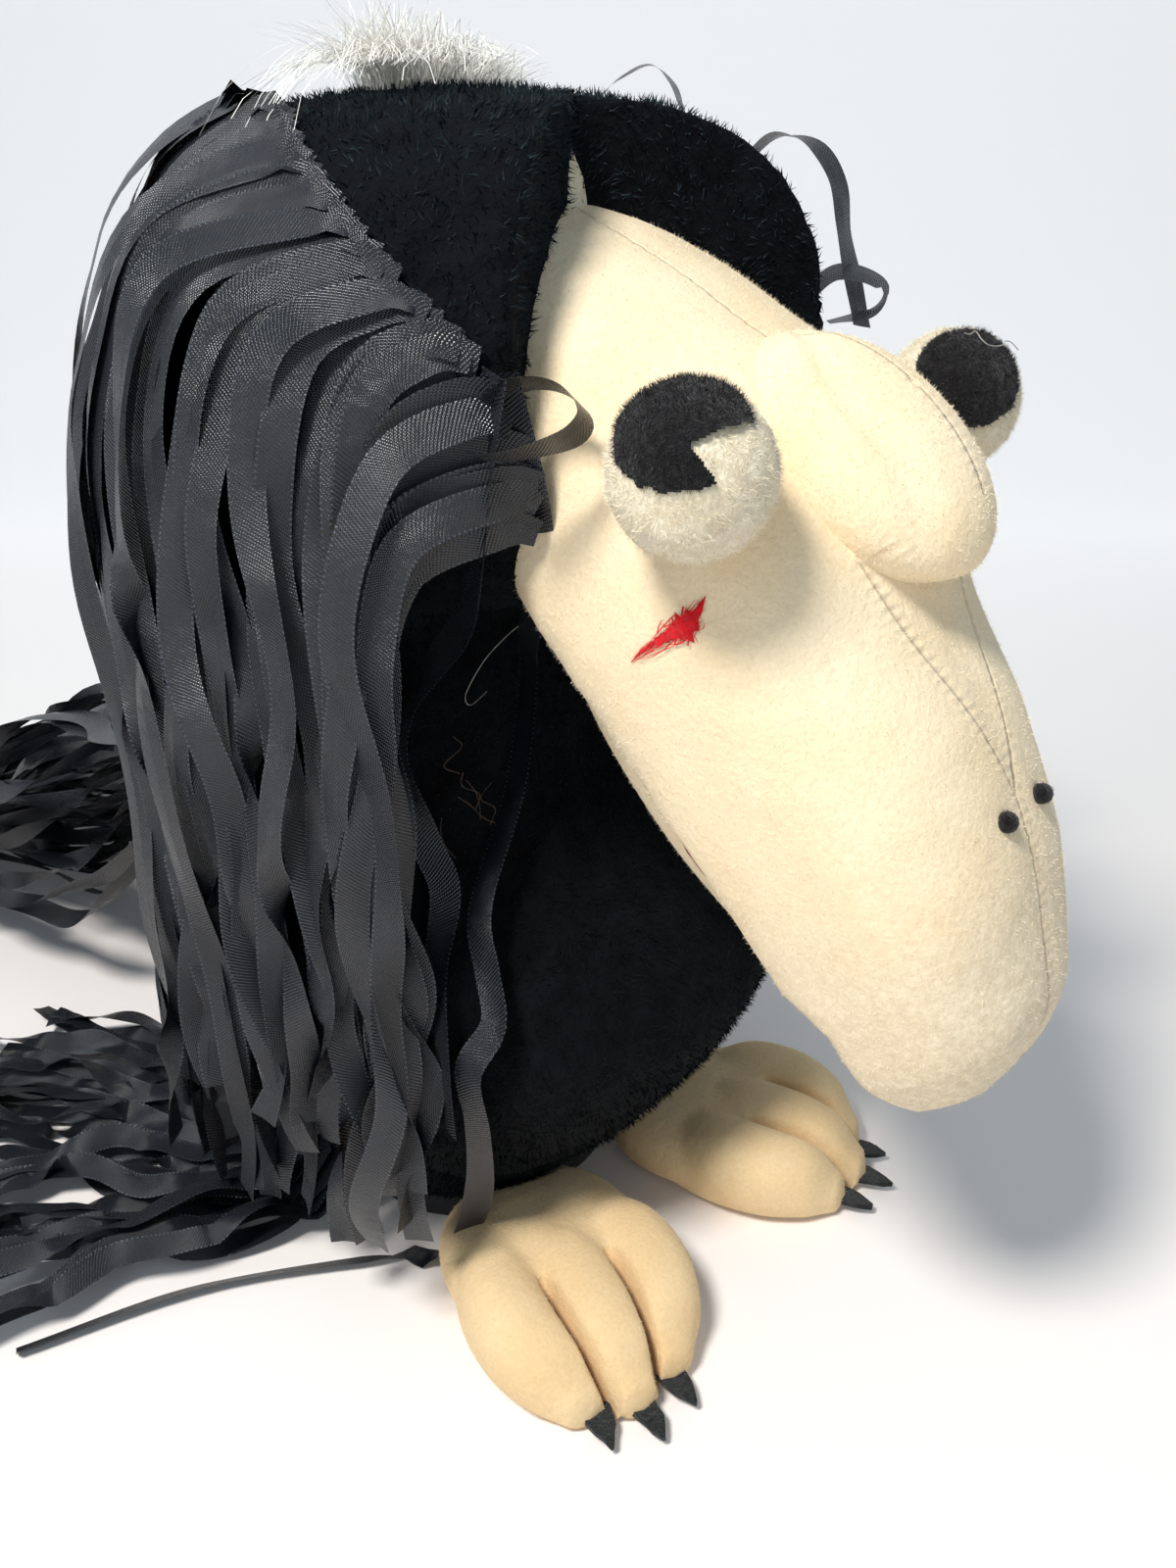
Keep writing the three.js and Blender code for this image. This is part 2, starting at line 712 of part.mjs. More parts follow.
// Eyes: felted balls, each with a felted black patch that has a bite out of it
const pupilLooks = { left: [-0.4, -0.58, 0.66], right: [-0.64, -0.14, 0.75] };
const biteTurns = { left: 2.4, right: -0.6 };
sides.forEach(([name, side]) => {
  const centre = new THREE.Vector3(side * eyeSpread, -eyeForward, eyeHeight);
  addPiece(`eye_${name}`, ball(eyeRadius, ...centre.toArray(), 20).subtract(grownBeak), finishes.eyeWool);
  const patchSteps = 3;
  const profile = [];
  for (let k = 0; k <= patchSteps; k += 1) {
    const angle = (k / patchSteps) * pupilAngle;
    const radius = eyeRadius + gap + pupilThickness;
    profile.push(new THREE.Vector2(radius * Math.sin(angle), radius * Math.cos(angle)));
  }
  for (let k = patchSteps; k >= 0; k -= 1) {
    const angle = (k / patchSteps) * pupilAngle;
    profile.push(new THREE.Vector2((eyeRadius + gap) * Math.sin(angle), (eyeRadius + gap) * Math.cos(angle)));
  }
  const cap = new THREE.LatheGeometry(profile.reverse(), 20);
  const bite = new THREE.CylinderGeometry(
    eyeRadius * biteShare,
    eyeRadius * biteShare,
    eyeRadius * 2,
    3,
  );
  bite.translate(eyeRadius * Math.sin(pupilAngle) * biteOffset, eyeRadius, 0);
  bite.rotateY(biteTurns[name]);
  const look = new THREE.Vector3(...pupilLooks[name]).normalize();
  const aim = new THREE.Matrix4().makeRotationFromQuaternion(
    new THREE.Quaternion().setFromUnitVectors(new THREE.Vector3(0, 1, 0), look),
  );
  aim.setPosition(centre);
  const patch = toSolid(cap.applyMatrix4(aim)).subtract(toSolid(bite.applyMatrix4(aim)));
  addPiece(`pupil_${name}`, patch.subtract(grownBeak), finishes.blackWool);
});

// Nostrils: two small felted knots on the ridge
const ridgeStep = 0.05;
const ridgeHeight = (s) => {
  let station = 1;
  while (spline(beakShares, station)[3] * beakLength < s) station += ridgeStep;
  return spline(beakShares, station)[4] * beakDepth;
};
sides.forEach(([name, side]) => {
  const drop = nostrilSpread ** 2 / (2 * beakHalfWidth);
  const place = beakPlace(side * nostrilSpread, nostrilStation, ridgeHeight(nostrilStation) - drop);
  const knot = ball(nostrilRadius, ...place.toArray(), 12);
  addPiece(`nostril_${name}`, knot.subtract(grownBeak), finishes.blackWool);
});

// Red felted wisp on the right cheek
const markStretch = new THREE.Matrix4().makeRotationX(-beakDroop);
markStretch.setPosition(beakPlace(-beakHalfWidth, markStation, markHeight));
const markBlob = blob(markStretch, markHalfWidth, markTail, markRadius, 2, 16);
const markSkin = beakForm(gap + markThickness).subtract(grownBeak);
addPiece('cheek_mark', markBlob.intersect(markSkin).subtract(hoodForm(-gap)), finishes.redWool);

// Crown tuft: pointed locks that spread from a pad on the crown
const tuftBase = new THREE.Matrix4().makeTranslation(0, 0, hoodTop - tuftPad);
const lockShares = [[0, 1], [0.45, 0.75]];
const tuftParts = [blob(tuftBase, tuftHalfLength, tuftHalfWidth, tuftPadRise, backPower, 16)];
for (let k = 0; k < tuftLocks; k += 1) {
  const along = (2 * k) / (tuftLocks - 1) - 1;
  const across = Math.sin(k * lockTurn);
  const foot = new THREE.Vector3(
    along * tuftHalfLength * tuftSpreadShare,
    across * tuftHalfWidth * tuftSpreadShare,
    hoodTop - tuftPad,
  );
  const lean = new THREE.Vector3(along, across / 2, lockRise - along ** 2 / 2);
  const reach = lean.multiplyScalar(tuftHeight / lockRise);
  const rings = lockShares.map(([up, width]) => [0, 1, 2].map((corner) => {
    const angle = turn(corner, 3) + k;
    const side = new THREE.Vector3(Math.cos(angle), Math.sin(angle), 0);
    return foot.clone().addScaledVector(reach, up).addScaledVector(side, width * tuftLockWidth);
  }));
  tuftParts.push(loft(rings, null, foot.clone().add(reach)));
}
addPiece('crown_tuft', joinAll(tuftParts).subtract(hoodForm(-gap)), finishes.tuft);

// Ribbons: a flat strip along a path, with the direction across it at each point
const alongPath = (path, k) => {
  const before = path[Math.max(k - 1, 0)];
  const after = path[Math.min(k + 1, path.length - 1)];
  return after.clone().sub(before).normalize();
};
const strip = (path, across, widths, thickness = ribbonThickness) => {
  const rings = path.map((p, k) => {
    const along = alongPath(path, k);
    const wide = across[k].clone().projectOnPlane(along).normalize();
    const thick = new THREE.Vector3().crossVectors(along, wide).normalize();
    return [[-1, -1], [1, -1], [1, 1], [-1, 1]].map(([a, b]) => p.clone()
      .addScaledVector(wide, (a * widths[k]) / 2)
      .addScaledVector(thick, (b * thickness) / 2));
  });
  return loft(rings);
};

// Wing seam: straight as seen from outside, so that the wing can lift about it. A point of the seam is
// where a line out of the hood leaves it; the seam bends at the crown, between the side and rear ribbons.
const seamCheek = new THREE.Vector3(seamCheekSpread, -seamCheekForward, seamCheekHeight);
const seamCrown = new THREE.Vector3(seamCrownSpread, -seamCrownForward, seamCrownHeight);
const seamBack = new THREE.Vector3(seamBackSpread, seamBackSetback, seamBackHeight);
const seamBendShare = 2 / 3;
const seamLine = seamCrown.clone().sub(seamCheek).normalize();
const sideOut = new THREE.Vector3(1, 0, 0.4).projectOnPlane(seamLine).normalize();
const backOut = new THREE.Vector3(0.3, 0.6, 0.75).normalize();
const seamPoint = (u, grow) => {
  const side = Math.min(u / seamBendShare, 1);
  const back = Math.max((u - seamBendShare) / (1 - seamBendShare), 0);
  const base = seamCheek.clone().lerp(seamCrown, side).lerp(seamBack, back);
  const out = sideOut.clone().lerp(backOut, back).normalize();
  return leaveHood(base.addScaledVector(out, -seamDepth), out, grow);
};

// How the ribbons hang, by place along the seam: across and back as shares of the wing's reaches, the
// height of the ends as a share of the body's height, and how far the ends tuck in
const hangShares = [
  [0, 0.91, -0.7, 0.2, 0.98],
  [0.17, 1.01, -0.3, 0.19, 0.96],
  [0.33, 1.02, 0.14, 0.2, 0.95],
  [0.5, 0.96, 0.5, 0.2, 0.98],
  [0.67, 0.79, 0.82, 0.2, 0.99],
  [0.76, 0.64, 0.97, 0.5, 0.99],
  [0.83, 0.5, 1.03, 0.93, 0.98],
  [1, 0.2, 1.1, 0.98, 0.98],
];
const seamGrow = gap + tapeThickness / 2;
const fallShares = [[0.72, 0.22], [0.96, 1]];
const wingCurve = (u) => {
  const start = seamPoint(u, seamGrow);
  const [, across, back, end, tuck] = spline(hangShares, u);
  const hang = new THREE.Vector3(across * wingReach, back * wingBackReach, 0);
  const outward = hang.clone().sub(start).setZ(0).normalize();
  const top = hang.clone().setZ(Math.max(start.z - 2 * wingFall, end * bodyHeight + wingShoulder));
  const low = hang.clone().multiplyScalar(tuck).setZ(end * bodyHeight);
  return new THREE.CatmullRomCurve3([
    start,
    start.clone().addScaledVector(outward, wingShoulder),
    ...fallShares.map(([share, drop]) => start.clone().lerp(hang, share).setZ(start.z - drop * wingFall)),
    top,
    top.clone().lerp(low, 0.5),
    low,
  ], false, 'centripetal');
};
const ribbonSteps = 7;
const besideShare = 0.01;
const tapeTrimShare = 0.66;
const gatherShare = 0.86;
const wingGroup = (index) => {
  const perGroup = wingRibbons / wingGroupNames.length;
  const parts = [];
  for (let k = 0; k < perGroup; k += 1) {
    const u = (index * perGroup + k + 0.5) / wingRibbons;
    const path = wingCurve(u).getPoints(ribbonSteps);
    const before = wingCurve(u - besideShare).getPoints(ribbonSteps);
    const after = wingCurve(u + besideShare).getPoints(ribbonSteps);
    const across = after.map((p, step) => p.sub(before[step]).projectOnPlane(alongPath(path, step)));
    const pitches = across.map((p) => p.length() / (2 * besideShare * wingRibbons));
    const widths = pitches.map((pitch) => Math.min(pitch * gatherShare - gap, ribbonWidth));
    parts.push(strip(path, across, widths));
  }
  const tapeSteps = 6;
  const tape = Array.from({ length: tapeSteps + 1 }, (_, k) => {
    const run = (k / tapeSteps) * (perGroup - 2 * tapeTrimShare);
    const place = (index * perGroup + tapeTrimShare + run) / wingRibbons;
    return [seamPoint(place, seamGrow), wingCurve(place).getPoint(besideShare * 4)];
  });
  const middle = tape.map(([p, q]) => q.clone().sub(p).setLength(tapeHeight / 2).add(p));
  const tapeAcross = tape.map(([p, q]) => q.clone().sub(p));
  parts.push(strip(middle, tapeAcross, tape.map(() => tapeHeight), tapeThickness));
  return joinAll(parts).subtract(hoodForm(-gap));
};
wingGroupNames.forEach((group, index) => {
  const solid = wingGroup(index);
  addPiece(`wing_${group}_left`, solid, finishes.satin);
  addPiece(`wing_${group}_right`, solid.mirror([1, 0, 0]), finishes.satin);
});

// Train: ribbons sewn across the lower back that slope down and trail away on the table
const backSeam = (x) => {
  const angle = Math.acos(THREE.MathUtils.clamp(x / bodyHalfWidth, -1, 1));
  return bodyPoint(trainHeight, angle, -gap - tapeThickness / 2);
};
const trainShares = [
  [0, 1],
  [0.03, 0.97],
  [0.16, 0.8],
  [0.36, 0.6],
  [0.58, 0.42],
  [0.8, 0.27],
  [0.93, 0.1],
  [1, 0],
];
const trainGroups = [['right', -1], ['middle', 0], ['left', 1]];
const trainCurve = (place) => {
  const start = backSeam(place * trainTapeHalfWidth);
  const reach = (trainLength - start.y) * (1 - trainRounding * place ** 2);
  return trainShares.map(([along, height]) => new THREE.Vector3(
    THREE.MathUtils.lerp(start.x, place * trainSpread, along),
    start.y + along * reach,
    THREE.MathUtils.lerp(ribbonRest, start.z, height),
  ));
};
trainGroups.forEach(([name], index) => {
  const perGroup = trainRibbons / trainGroups.length;
  const parts = [];
  for (let k = 0; k < perGroup; k += 1) {
    const place = (2 * (index * perGroup + k + 0.5)) / trainRibbons - 1;
    const curve = new THREE.CatmullRomCurve3(trainCurve(place), false, 'centripetal');
    const path = curve.getPoints(ribbonSteps);
    path.forEach((p) => p.setZ(Math.max(p.z, ribbonRest)));
    const pitch = (2 * trainTapeHalfWidth * gatherShare) / trainRibbons - gap;
    const widths = path.map((p, step) => Math.min(
      pitch + ((ribbonWidth - pitch) * step) / trainGatherSteps,
      ribbonWidth,
    ));
    parts.push(strip(path, path.map(() => new THREE.Vector3(1, 0, 0)), widths));
  }
  const from = (2 * index) / trainGroups.length - 1;
  const to = from + 2 / trainGroups.length;
  const tapePath = Array.from({ length: 6 }, (_, i) => {
    const place = THREE.MathUtils.lerp(from + besideShare, to - besideShare, i / 5);
    return backSeam(place * trainTapeHalfWidth);
  });
  const upright = tapePath.map(() => new THREE.Vector3(0, 0, 1));
  parts.push(strip(tapePath, upright, tapePath.map(() => tapeHeight), tapeThickness));
  addPiece(`train_${name}`, joinAll(parts).subtract(clearBody), finishes.satin);
});

// Side ribbons: sewn low on each side of the body, trailing out over the table
sides.forEach(([name, side]) => {
  const parts = [];
  const places = Array.from({ length: sideRibbons }, (_, k) => (k + 0.5) / sideRibbons);
  const seamAt = (place) => bodyPoint(
    sideSeamHeight,
    THREE.MathUtils.lerp(sideSeamFrom, sideSeamTo, place),
    -gap - tapeThickness / 2,
  );
  places.forEach((place) => {
    const start = seamAt(place);
    const turned = THREE.MathUtils.lerp(sideHeadingFrom, sideHeadingTo, place);
    const heading = new THREE.Vector3(Math.cos(turned), Math.sin(turned), 0);
    const beside = new THREE.Vector3(-heading.y, heading.x, 0);
    const end = start.clone().addScaledVector(heading, sideRun).setZ(ribbonRest);
    const knee = start.clone().addScaledVector(heading, kneeReach).setZ(ribbonRest);
    const curve = new THREE.CatmullRomCurve3([
      start,
      start.clone().lerp(knee, 0.55).setZ(start.z * kneeDropShare),
      knee,
      knee.clone().lerp(end, 0.45).addScaledVector(beside, sideBend),
      end,
    ], false, 'centripetal');
    const path = curve.getPoints(ribbonSteps);
    path.forEach((p) => p.setZ(Math.max(p.z, ribbonRest)));
    const across = path.map((p, i) => {
      const along = path[Math.min(i + 1, ribbonSteps)].clone().sub(path[Math.max(i - 1, 0)]);
      return new THREE.Vector3(-along.y, along.x, 0);
    });
    parts.push(strip(path, across, path.map(() => ribbonWidth)));
  });
  const tapePath = Array.from({ length: 7 }, (_, i) => seamAt(i / 6));
  const upright = tapePath.map(() => new THREE.Vector3(0, 0, 1));
  parts.push(strip(tapePath, upright, tapePath.map(() => tapeHeight), tapeThickness));
  const solid = side > 0 ? joinAll(parts) : joinAll(parts).mirror([1, 0, 0]);
  addPiece(`side_ribbons_${name}`, solid.subtract(clearBody), finishes.satin);
});

// Feet: three stuffed toes that spread from the ankle and close towards their tips. Each foot turns on
// a heel knuckle that sits in a scallop of the hem band.
const toeShares = [
  [0.1, 0.1, 0.5, 0.36],
  [0.25, 0.55, 0.85, 0.66],
  [0.48, 0.94, 1, 1],
  [0.7, 1, 1, 0.98],
  [0.86, 0.84, 0.86, 0.8],
  [0.96, 0.66, 0.5, 0.42],
];
const toeSides = 14;
const toeLengthShares = [0.95, 1, 0.95];
const toeForm = (lane) => {
  const length = footLength * toeLengthShares[lane + 1];
  const rings = toeShares.map(([along, spread, width, height]) => Array.from({ length: toeSides }, (_, k) => {
    const [x, rise] = roundPoint(turn(k, toeSides), width * toeRadius, 1, 1, toePower, toePower);
    return new THREE.Vector3(
      lane * toeSplay * spread + x,
      -along * length,
      ((rise + 1) / 2) * height * footHeight - flatCut,
    );
  }));
  return loft(rings);
};
const clawShares = [
  [0, -1],
  [0.3, -0.6],
  [0.5, 0],
  [-0.5, 0],
  [-0.34, -0.7],
];
const clawForm = (lane) => {
  const outline = clawShares.map(([x, y]) => new THREE.Vector2(x * clawWidth, y * clawLength));
  const shape = new THREE.Shape(outline);
  const geometry = new THREE.ExtrudeGeometry(shape, { depth: clawThickness, bevelEnabled: false });
  geometry.rotateZ(-lane * toeOut / 2);
  const reach = footLength * toeLengthShares[lane + 1] * clawReachShare;
  geometry.translate(lane * toeSplay * clawSpreadShare, -reach, clawLift);
  return toSolid(geometry);
};
const lanes = [-1, 0, 1];
const clawNames = ['inner', 'middle', 'outer'];
const toes = joinAll(lanes.map(toeForm));
const grownToes = toes.translate([0, -gap, 0]).add(toes);
const table = new THREE.BoxGeometry(tableReach, tableReach, footHeight);
table.translate(0, 0, -footHeight / 2);
const underBody = (clearance) => bodyForm(-overrun, footHeight + 2 * overrun, -clearance, 3);
sides.forEach(([name, side], k) => {
  const place = (solid) => toPlace(solid, anklePlaces[k], toeOut * side);
  const knuckle = cylinder(heelRadius, 0, heelHeight, 24).add(ankleTab(0, heelHeight));
  const foot = place(toes).subtract(underBody(footGap)).add(place(knuckle)).subtract(toSolid(table));
  addPiece(`foot_${name}`, foot, finishes.footFleece);
  lanes.forEach((lane, index) => {
    const label = clawNames[side > 0 ? index : clawNames.length - 1 - index];
    addPiece(`claw_${label}_${name}`, place(clawForm(lane)).subtract(place(grownToes)), finishes.blackWool);
  });
});

// The origin is under the middle of the bounding box, on the table
const box = new THREE.Box3().setFromObject(puppet);
const middle = box.getCenter(new THREE.Vector3());
puppet.position.set(-middle.x, -middle.y, -box.min.z);
puppet.updateMatrixWorld(true);

export default puppet;
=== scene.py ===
"""The looks of the moving mouth puppet: plush, fleece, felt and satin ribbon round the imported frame."""
import json
import math

import bpy
import numpy as np
from mathutils import Matrix, Vector, noise
from mathutils.bvhtree import BVHTree


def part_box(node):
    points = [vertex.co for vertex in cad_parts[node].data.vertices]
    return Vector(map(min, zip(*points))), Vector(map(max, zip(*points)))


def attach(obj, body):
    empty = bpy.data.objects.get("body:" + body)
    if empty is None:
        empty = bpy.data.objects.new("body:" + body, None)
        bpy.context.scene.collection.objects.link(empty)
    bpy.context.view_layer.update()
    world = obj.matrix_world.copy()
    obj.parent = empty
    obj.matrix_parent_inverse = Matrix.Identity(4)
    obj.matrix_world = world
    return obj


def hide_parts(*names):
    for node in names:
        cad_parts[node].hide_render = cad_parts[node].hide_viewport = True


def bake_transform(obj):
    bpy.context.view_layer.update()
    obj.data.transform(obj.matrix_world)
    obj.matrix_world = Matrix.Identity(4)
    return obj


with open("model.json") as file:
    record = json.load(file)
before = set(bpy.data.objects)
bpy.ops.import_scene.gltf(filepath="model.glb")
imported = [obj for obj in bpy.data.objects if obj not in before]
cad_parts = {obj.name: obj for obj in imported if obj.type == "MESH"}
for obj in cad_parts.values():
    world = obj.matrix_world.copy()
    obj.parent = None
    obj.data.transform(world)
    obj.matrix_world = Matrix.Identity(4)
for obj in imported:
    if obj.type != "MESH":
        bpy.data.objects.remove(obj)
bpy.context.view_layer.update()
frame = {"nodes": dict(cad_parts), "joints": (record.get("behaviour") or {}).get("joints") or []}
JOINTS = {joint["name"]: joint for joint in frame["joints"]}
AXIS_Y = JOINTS["head_nod"]["pos_m"][1]
MM = 0.001
rng = np.random.default_rng(7)


# Places are in millimetres round the arm tunnel's axis, and become metres in the row frame
def place(points):
    return np.asarray(points, float) * MM + np.array([0, AXIS_Y, 0])


def unplace(point):
    return (np.asarray(point, float) - [0, AXIS_Y, 0]) / MM


def clamp(value, low=0, high=1):
    return min(max(value, low), high)


def normal_of(vector):
    return vector / np.linalg.norm(vector)


def normal_rows(vectors):
    return vectors / np.maximum(np.linalg.norm(vectors, axis=1), 1e-9)[:, None]


def around(count):
    return [2 * math.pi * k / count for k in range(count)]


# Sizes of the forms, as in the part
BODY_HEIGHT = 246
BODY_HALF_WIDTH = 100
BELLY_REACH = 122
BACK_REACH = 82
HEM_HEIGHT = 12.3
HOOD_BASE = 262
HOOD_TOP = 393
HOOD_HALF_WIDTH = 92
HOOD_FRONT = 130
HOOD_BACK = 74
CROWN_SETBACK = 12
NOTCH_DEPTH = 58
NOTCH_SLOPE = 0.58
BEAK_ROOT = np.array([0, -90, 285])
BEAK_DROOP = math.radians(51.5)
BEAK_DOWN = np.array([0, -math.cos(BEAK_DROOP), -math.sin(BEAK_DROOP)])
BEAK_UP = np.array([0, -math.sin(BEAK_DROOP), math.cos(BEAK_DROOP)])
BEAK_LENGTH = 202
BEAK_DEPTH = 62
BEAK_HALF_WIDTH = 62
PALATE_DROP = 14
RIBBON = 10
TABLE_GAP = 0.3
SIDES = (("left", 1), ("right", -1))

# The photograph's camera
IMAGE_HEIGHT = 1600
FOCAL_PIXELS = 1330
CAMERA_PLACE = (-309, -324, 375)
CAMERA_AZIMUTH = math.radians(-49.8)
CAMERA_PITCH = math.radians(25.8)
RIGHT = np.array([math.cos(CAMERA_AZIMUTH), math.sin(CAMERA_AZIMUTH), 0])
FORWARD = np.array([
    -math.sin(CAMERA_AZIMUTH) * math.cos(CAMERA_PITCH),
    math.cos(CAMERA_AZIMUTH) * math.cos(CAMERA_PITCH),
    -math.sin(CAMERA_PITCH),
])
UP = np.cross(RIGHT, FORWARD)

BODY_SHARES = np.array([
    [0, 0.57, 0.44, 0.75],
    [0.05, 0.6, 0.46, 0.82],
    [0.12, 0.7, 0.57, 0.88],
    [0.22, 0.85, 0.76, 0.95],
    [0.34, 0.95, 0.92, 0.99],
    [0.45, 1, 1, 1],
    [0.55, 1, 0.92, 0.99],
    [0.65, 0.98, 0.69, 0.97],
    [0.75, 0.96, 0.52, 0.95],
    [0.85, 0.94, 0.45, 0.93],
    [1, 0.91, 0.43, 0.9],
])
HOOD_SHARES = np.array([
    [0, 0.98, 0.74, 1],
    [0.17, 1, 0.84, 0.99],
    [0.36, 1, 0.94, 0.96],
    [0.55, 0.98, 1, 0.89],
    [0.69, 0.93, 0.98, 0.81],
    [0.81, 0.85, 0.89, 0.7],
    [0.9, 0.73, 0.76, 0.57],
    [0.96, 0.55, 0.57, 0.41],
    [0.99, 0.3, 0.33, 0.16],
])
BEAK_SHARES = np.array([
    [0, -0.15, -0.226, -0.47, 0.32, 0.8],
    [1, -0.03, -0.226, -0.4, 0.37, 0.93],
    [2, 0, -0.226, -0.27, 0.61, 0.98],
    [3, 0.1, -0.226, -0.13, 0.83, 1],
    [4, 0.2, -0.226, 0.02, 1.03, 0.98],
    [5, 0.32, -0.226, 0.21, 1.08, 0.93],
    [6, 0.445, -0.226, 0.355, 1, 0.87],
    [7, 0.57, -0.226, 0.52, 0.97, 0.79],
    [8, 0.69, -0.226, 0.69, 0.85, 0.73],
    [9, 0.8, -0.24, 0.81, 0.69, 0.655],
    [10, 0.895, -0.27, 0.9, 0.54, 0.545],
    [11, 0.965, -0.19, 0.965, 0.28, 0.36],
])


def spline(rows, t):
    """Smooth values between the rows of a table, by the rows' first column."""
    k = 0
    while k + 2 < len(rows) and t > rows[k + 1][0]:
        k += 1
    w = clamp((t - rows[k][0]) / (rows[k + 1][0] - rows[k][0]))
    before = rows[max(k - 1, 0)]
    after = rows[min(k + 2, len(rows) - 1)]
    a, b = rows[k], rows[k + 1]
    va, vb = (b - before) / 2, (after - a) / 2
    return a + va * w + (3 * (b - a) - 2 * va - vb) * w**2 + (2 * (a - b) + va + vb) * w**3


def round_point(angle, half_width, front, back, power_front=2.4, power_back=2.2):
    c, s = math.cos(angle), math.sin(angle)
    power = power_front if s < 0 else power_back
    reach = front if s < 0 else back
    x = half_width * math.copysign(abs(c) ** (2 / power), c)
    return x, reach * math.copysign(abs(s) ** (2 / power), s)


def body_point(height, angle, out=0.0):
    _, width, front, back = spline(BODY_SHARES, clamp(height / BODY_HEIGHT))
    x, y = round_point(
        angle, width * BODY_HALF_WIDTH + out, front * BELLY_REACH + out, back * BACK_REACH + out
    )
    return np.array([x, y, height])


def hood_point(share, angle, out=0.0):
    _, width, front, back = spline(HOOD_SHARES, share)
    x, y = round_point(
        angle, width * HOOD_HALF_WIDTH + out, front * HOOD_FRONT + out, back * HOOD_BACK + out, 2.8
    )
    z = HOOD_BASE + (HOOD_TOP - HOOD_BASE) * share
    return np.array([x, max(y, -out - NOTCH_DEPTH - NOTCH_SLOPE * abs(x)), z + out * share])


def inside(p, out):
    """Whether a point is in the body or the hood, grown by a margin."""
    x, y, z = p
    if z <= BODY_HEIGHT:
        _, width, front, back = spline(BODY_SHARES, max(z / BODY_HEIGHT, 0))
        w, f, b = width * BODY_HALF_WIDTH, front * BELLY_REACH, back * BACK_REACH
        power = 2.4 if y < 0 else 2.2
    else:
        share = (z - HOOD_BASE) / (HOOD_TOP - HOOD_BASE + out)
        if share > 0.99:
            return False
        _, width, front, back = spline(HOOD_SHARES, max(share, 0))
        w, f, b = width * HOOD_HALF_WIDTH, front * HOOD_FRONT, back * HOOD_BACK
        power = 2.8 if y < 0 else 2.2
        if y < -out - NOTCH_DEPTH - NOTCH_SLOPE * abs(x):
            return False
    reach = (f if y < 0 else b) + out
    return abs(x / (w + out)) ** power + abs(y / reach) ** power < 1


def push_out(p, out):
    """Moves a point straight out from the axis until it is clear of the body and the hood."""
    p = np.array(p, float)
    direction = np.array([p[0], p[1], 0])
    length = np.linalg.norm(direction)
    if length < 1:
        return p
    direction /= length
    for _ in range(60):
        if not inside(p, out):
            break
        p = p + direction * 2
    return p


def beak_place(x, s, h):
    return BEAK_ROOT + BEAK_DOWN * s + BEAK_UP * h + np.array([x, 0, 0])


# Meshes
def new_object(name, verts, faces, smooth=True, uvs=None):
    mesh = bpy.data.meshes.new(name)
    mesh.from_pydata([tuple(v) for v in verts], [], [tuple(f) for f in faces])
    if uvs is not None:
        layer = mesh.uv_layers.new(name="along")
        loop_verts = np.zeros(len(mesh.loops), np.int32)
        mesh.loops.foreach_get("vertex_index", loop_verts)
        layer.data.foreach_set("uv", np.asarray(uvs, np.float32)[loop_verts].ravel())
    mesh.update()
    if smooth:
        mesh.polygons.foreach_set("use_smooth", [True] * len(mesh.polygons))
    obj = bpy.data.objects.new(name, mesh)
    bpy.context.collection.objects.link(obj)
    return obj


def loft(rings, start=None, end=None):
    """Verts and faces of a closed skin over rings of equal count, each end a point."""
    count = len(rings[0])
    verts = [p for ring in rings for p in ring]
    faces = []
    for r in range(len(rings) - 1):
        for k in range(count):
            a, b = r * count + k, r * count + (k + 1) % count
            faces.append((a, b, b + count, a + count))
    if start is not None:
        verts.append(start)
        faces += [(len(verts) - 1, (k + 1) % count, k) for k in range(count)]
    if end is not None:
        verts.append(end)
        last = (len(rings) - 1) * count
        faces += [(len(verts) - 1, last + k, last + (k + 1) % count) for k in range(count)]
    return verts, faces


def blades(start, steps):
    """Faces of a strip of steps, from pairs of points that begin at start."""
    return [(a, a + 1, a + 3, a + 2) for a in range(start, start + 2 * steps, 2)]


def lump(p, scale, seed):
    """Smooth noise from -1 to 1 at a point in millimetres."""
    return noise.noise(Vector((p[0] / scale + seed, p[1] / scale, p[2] / scale)))


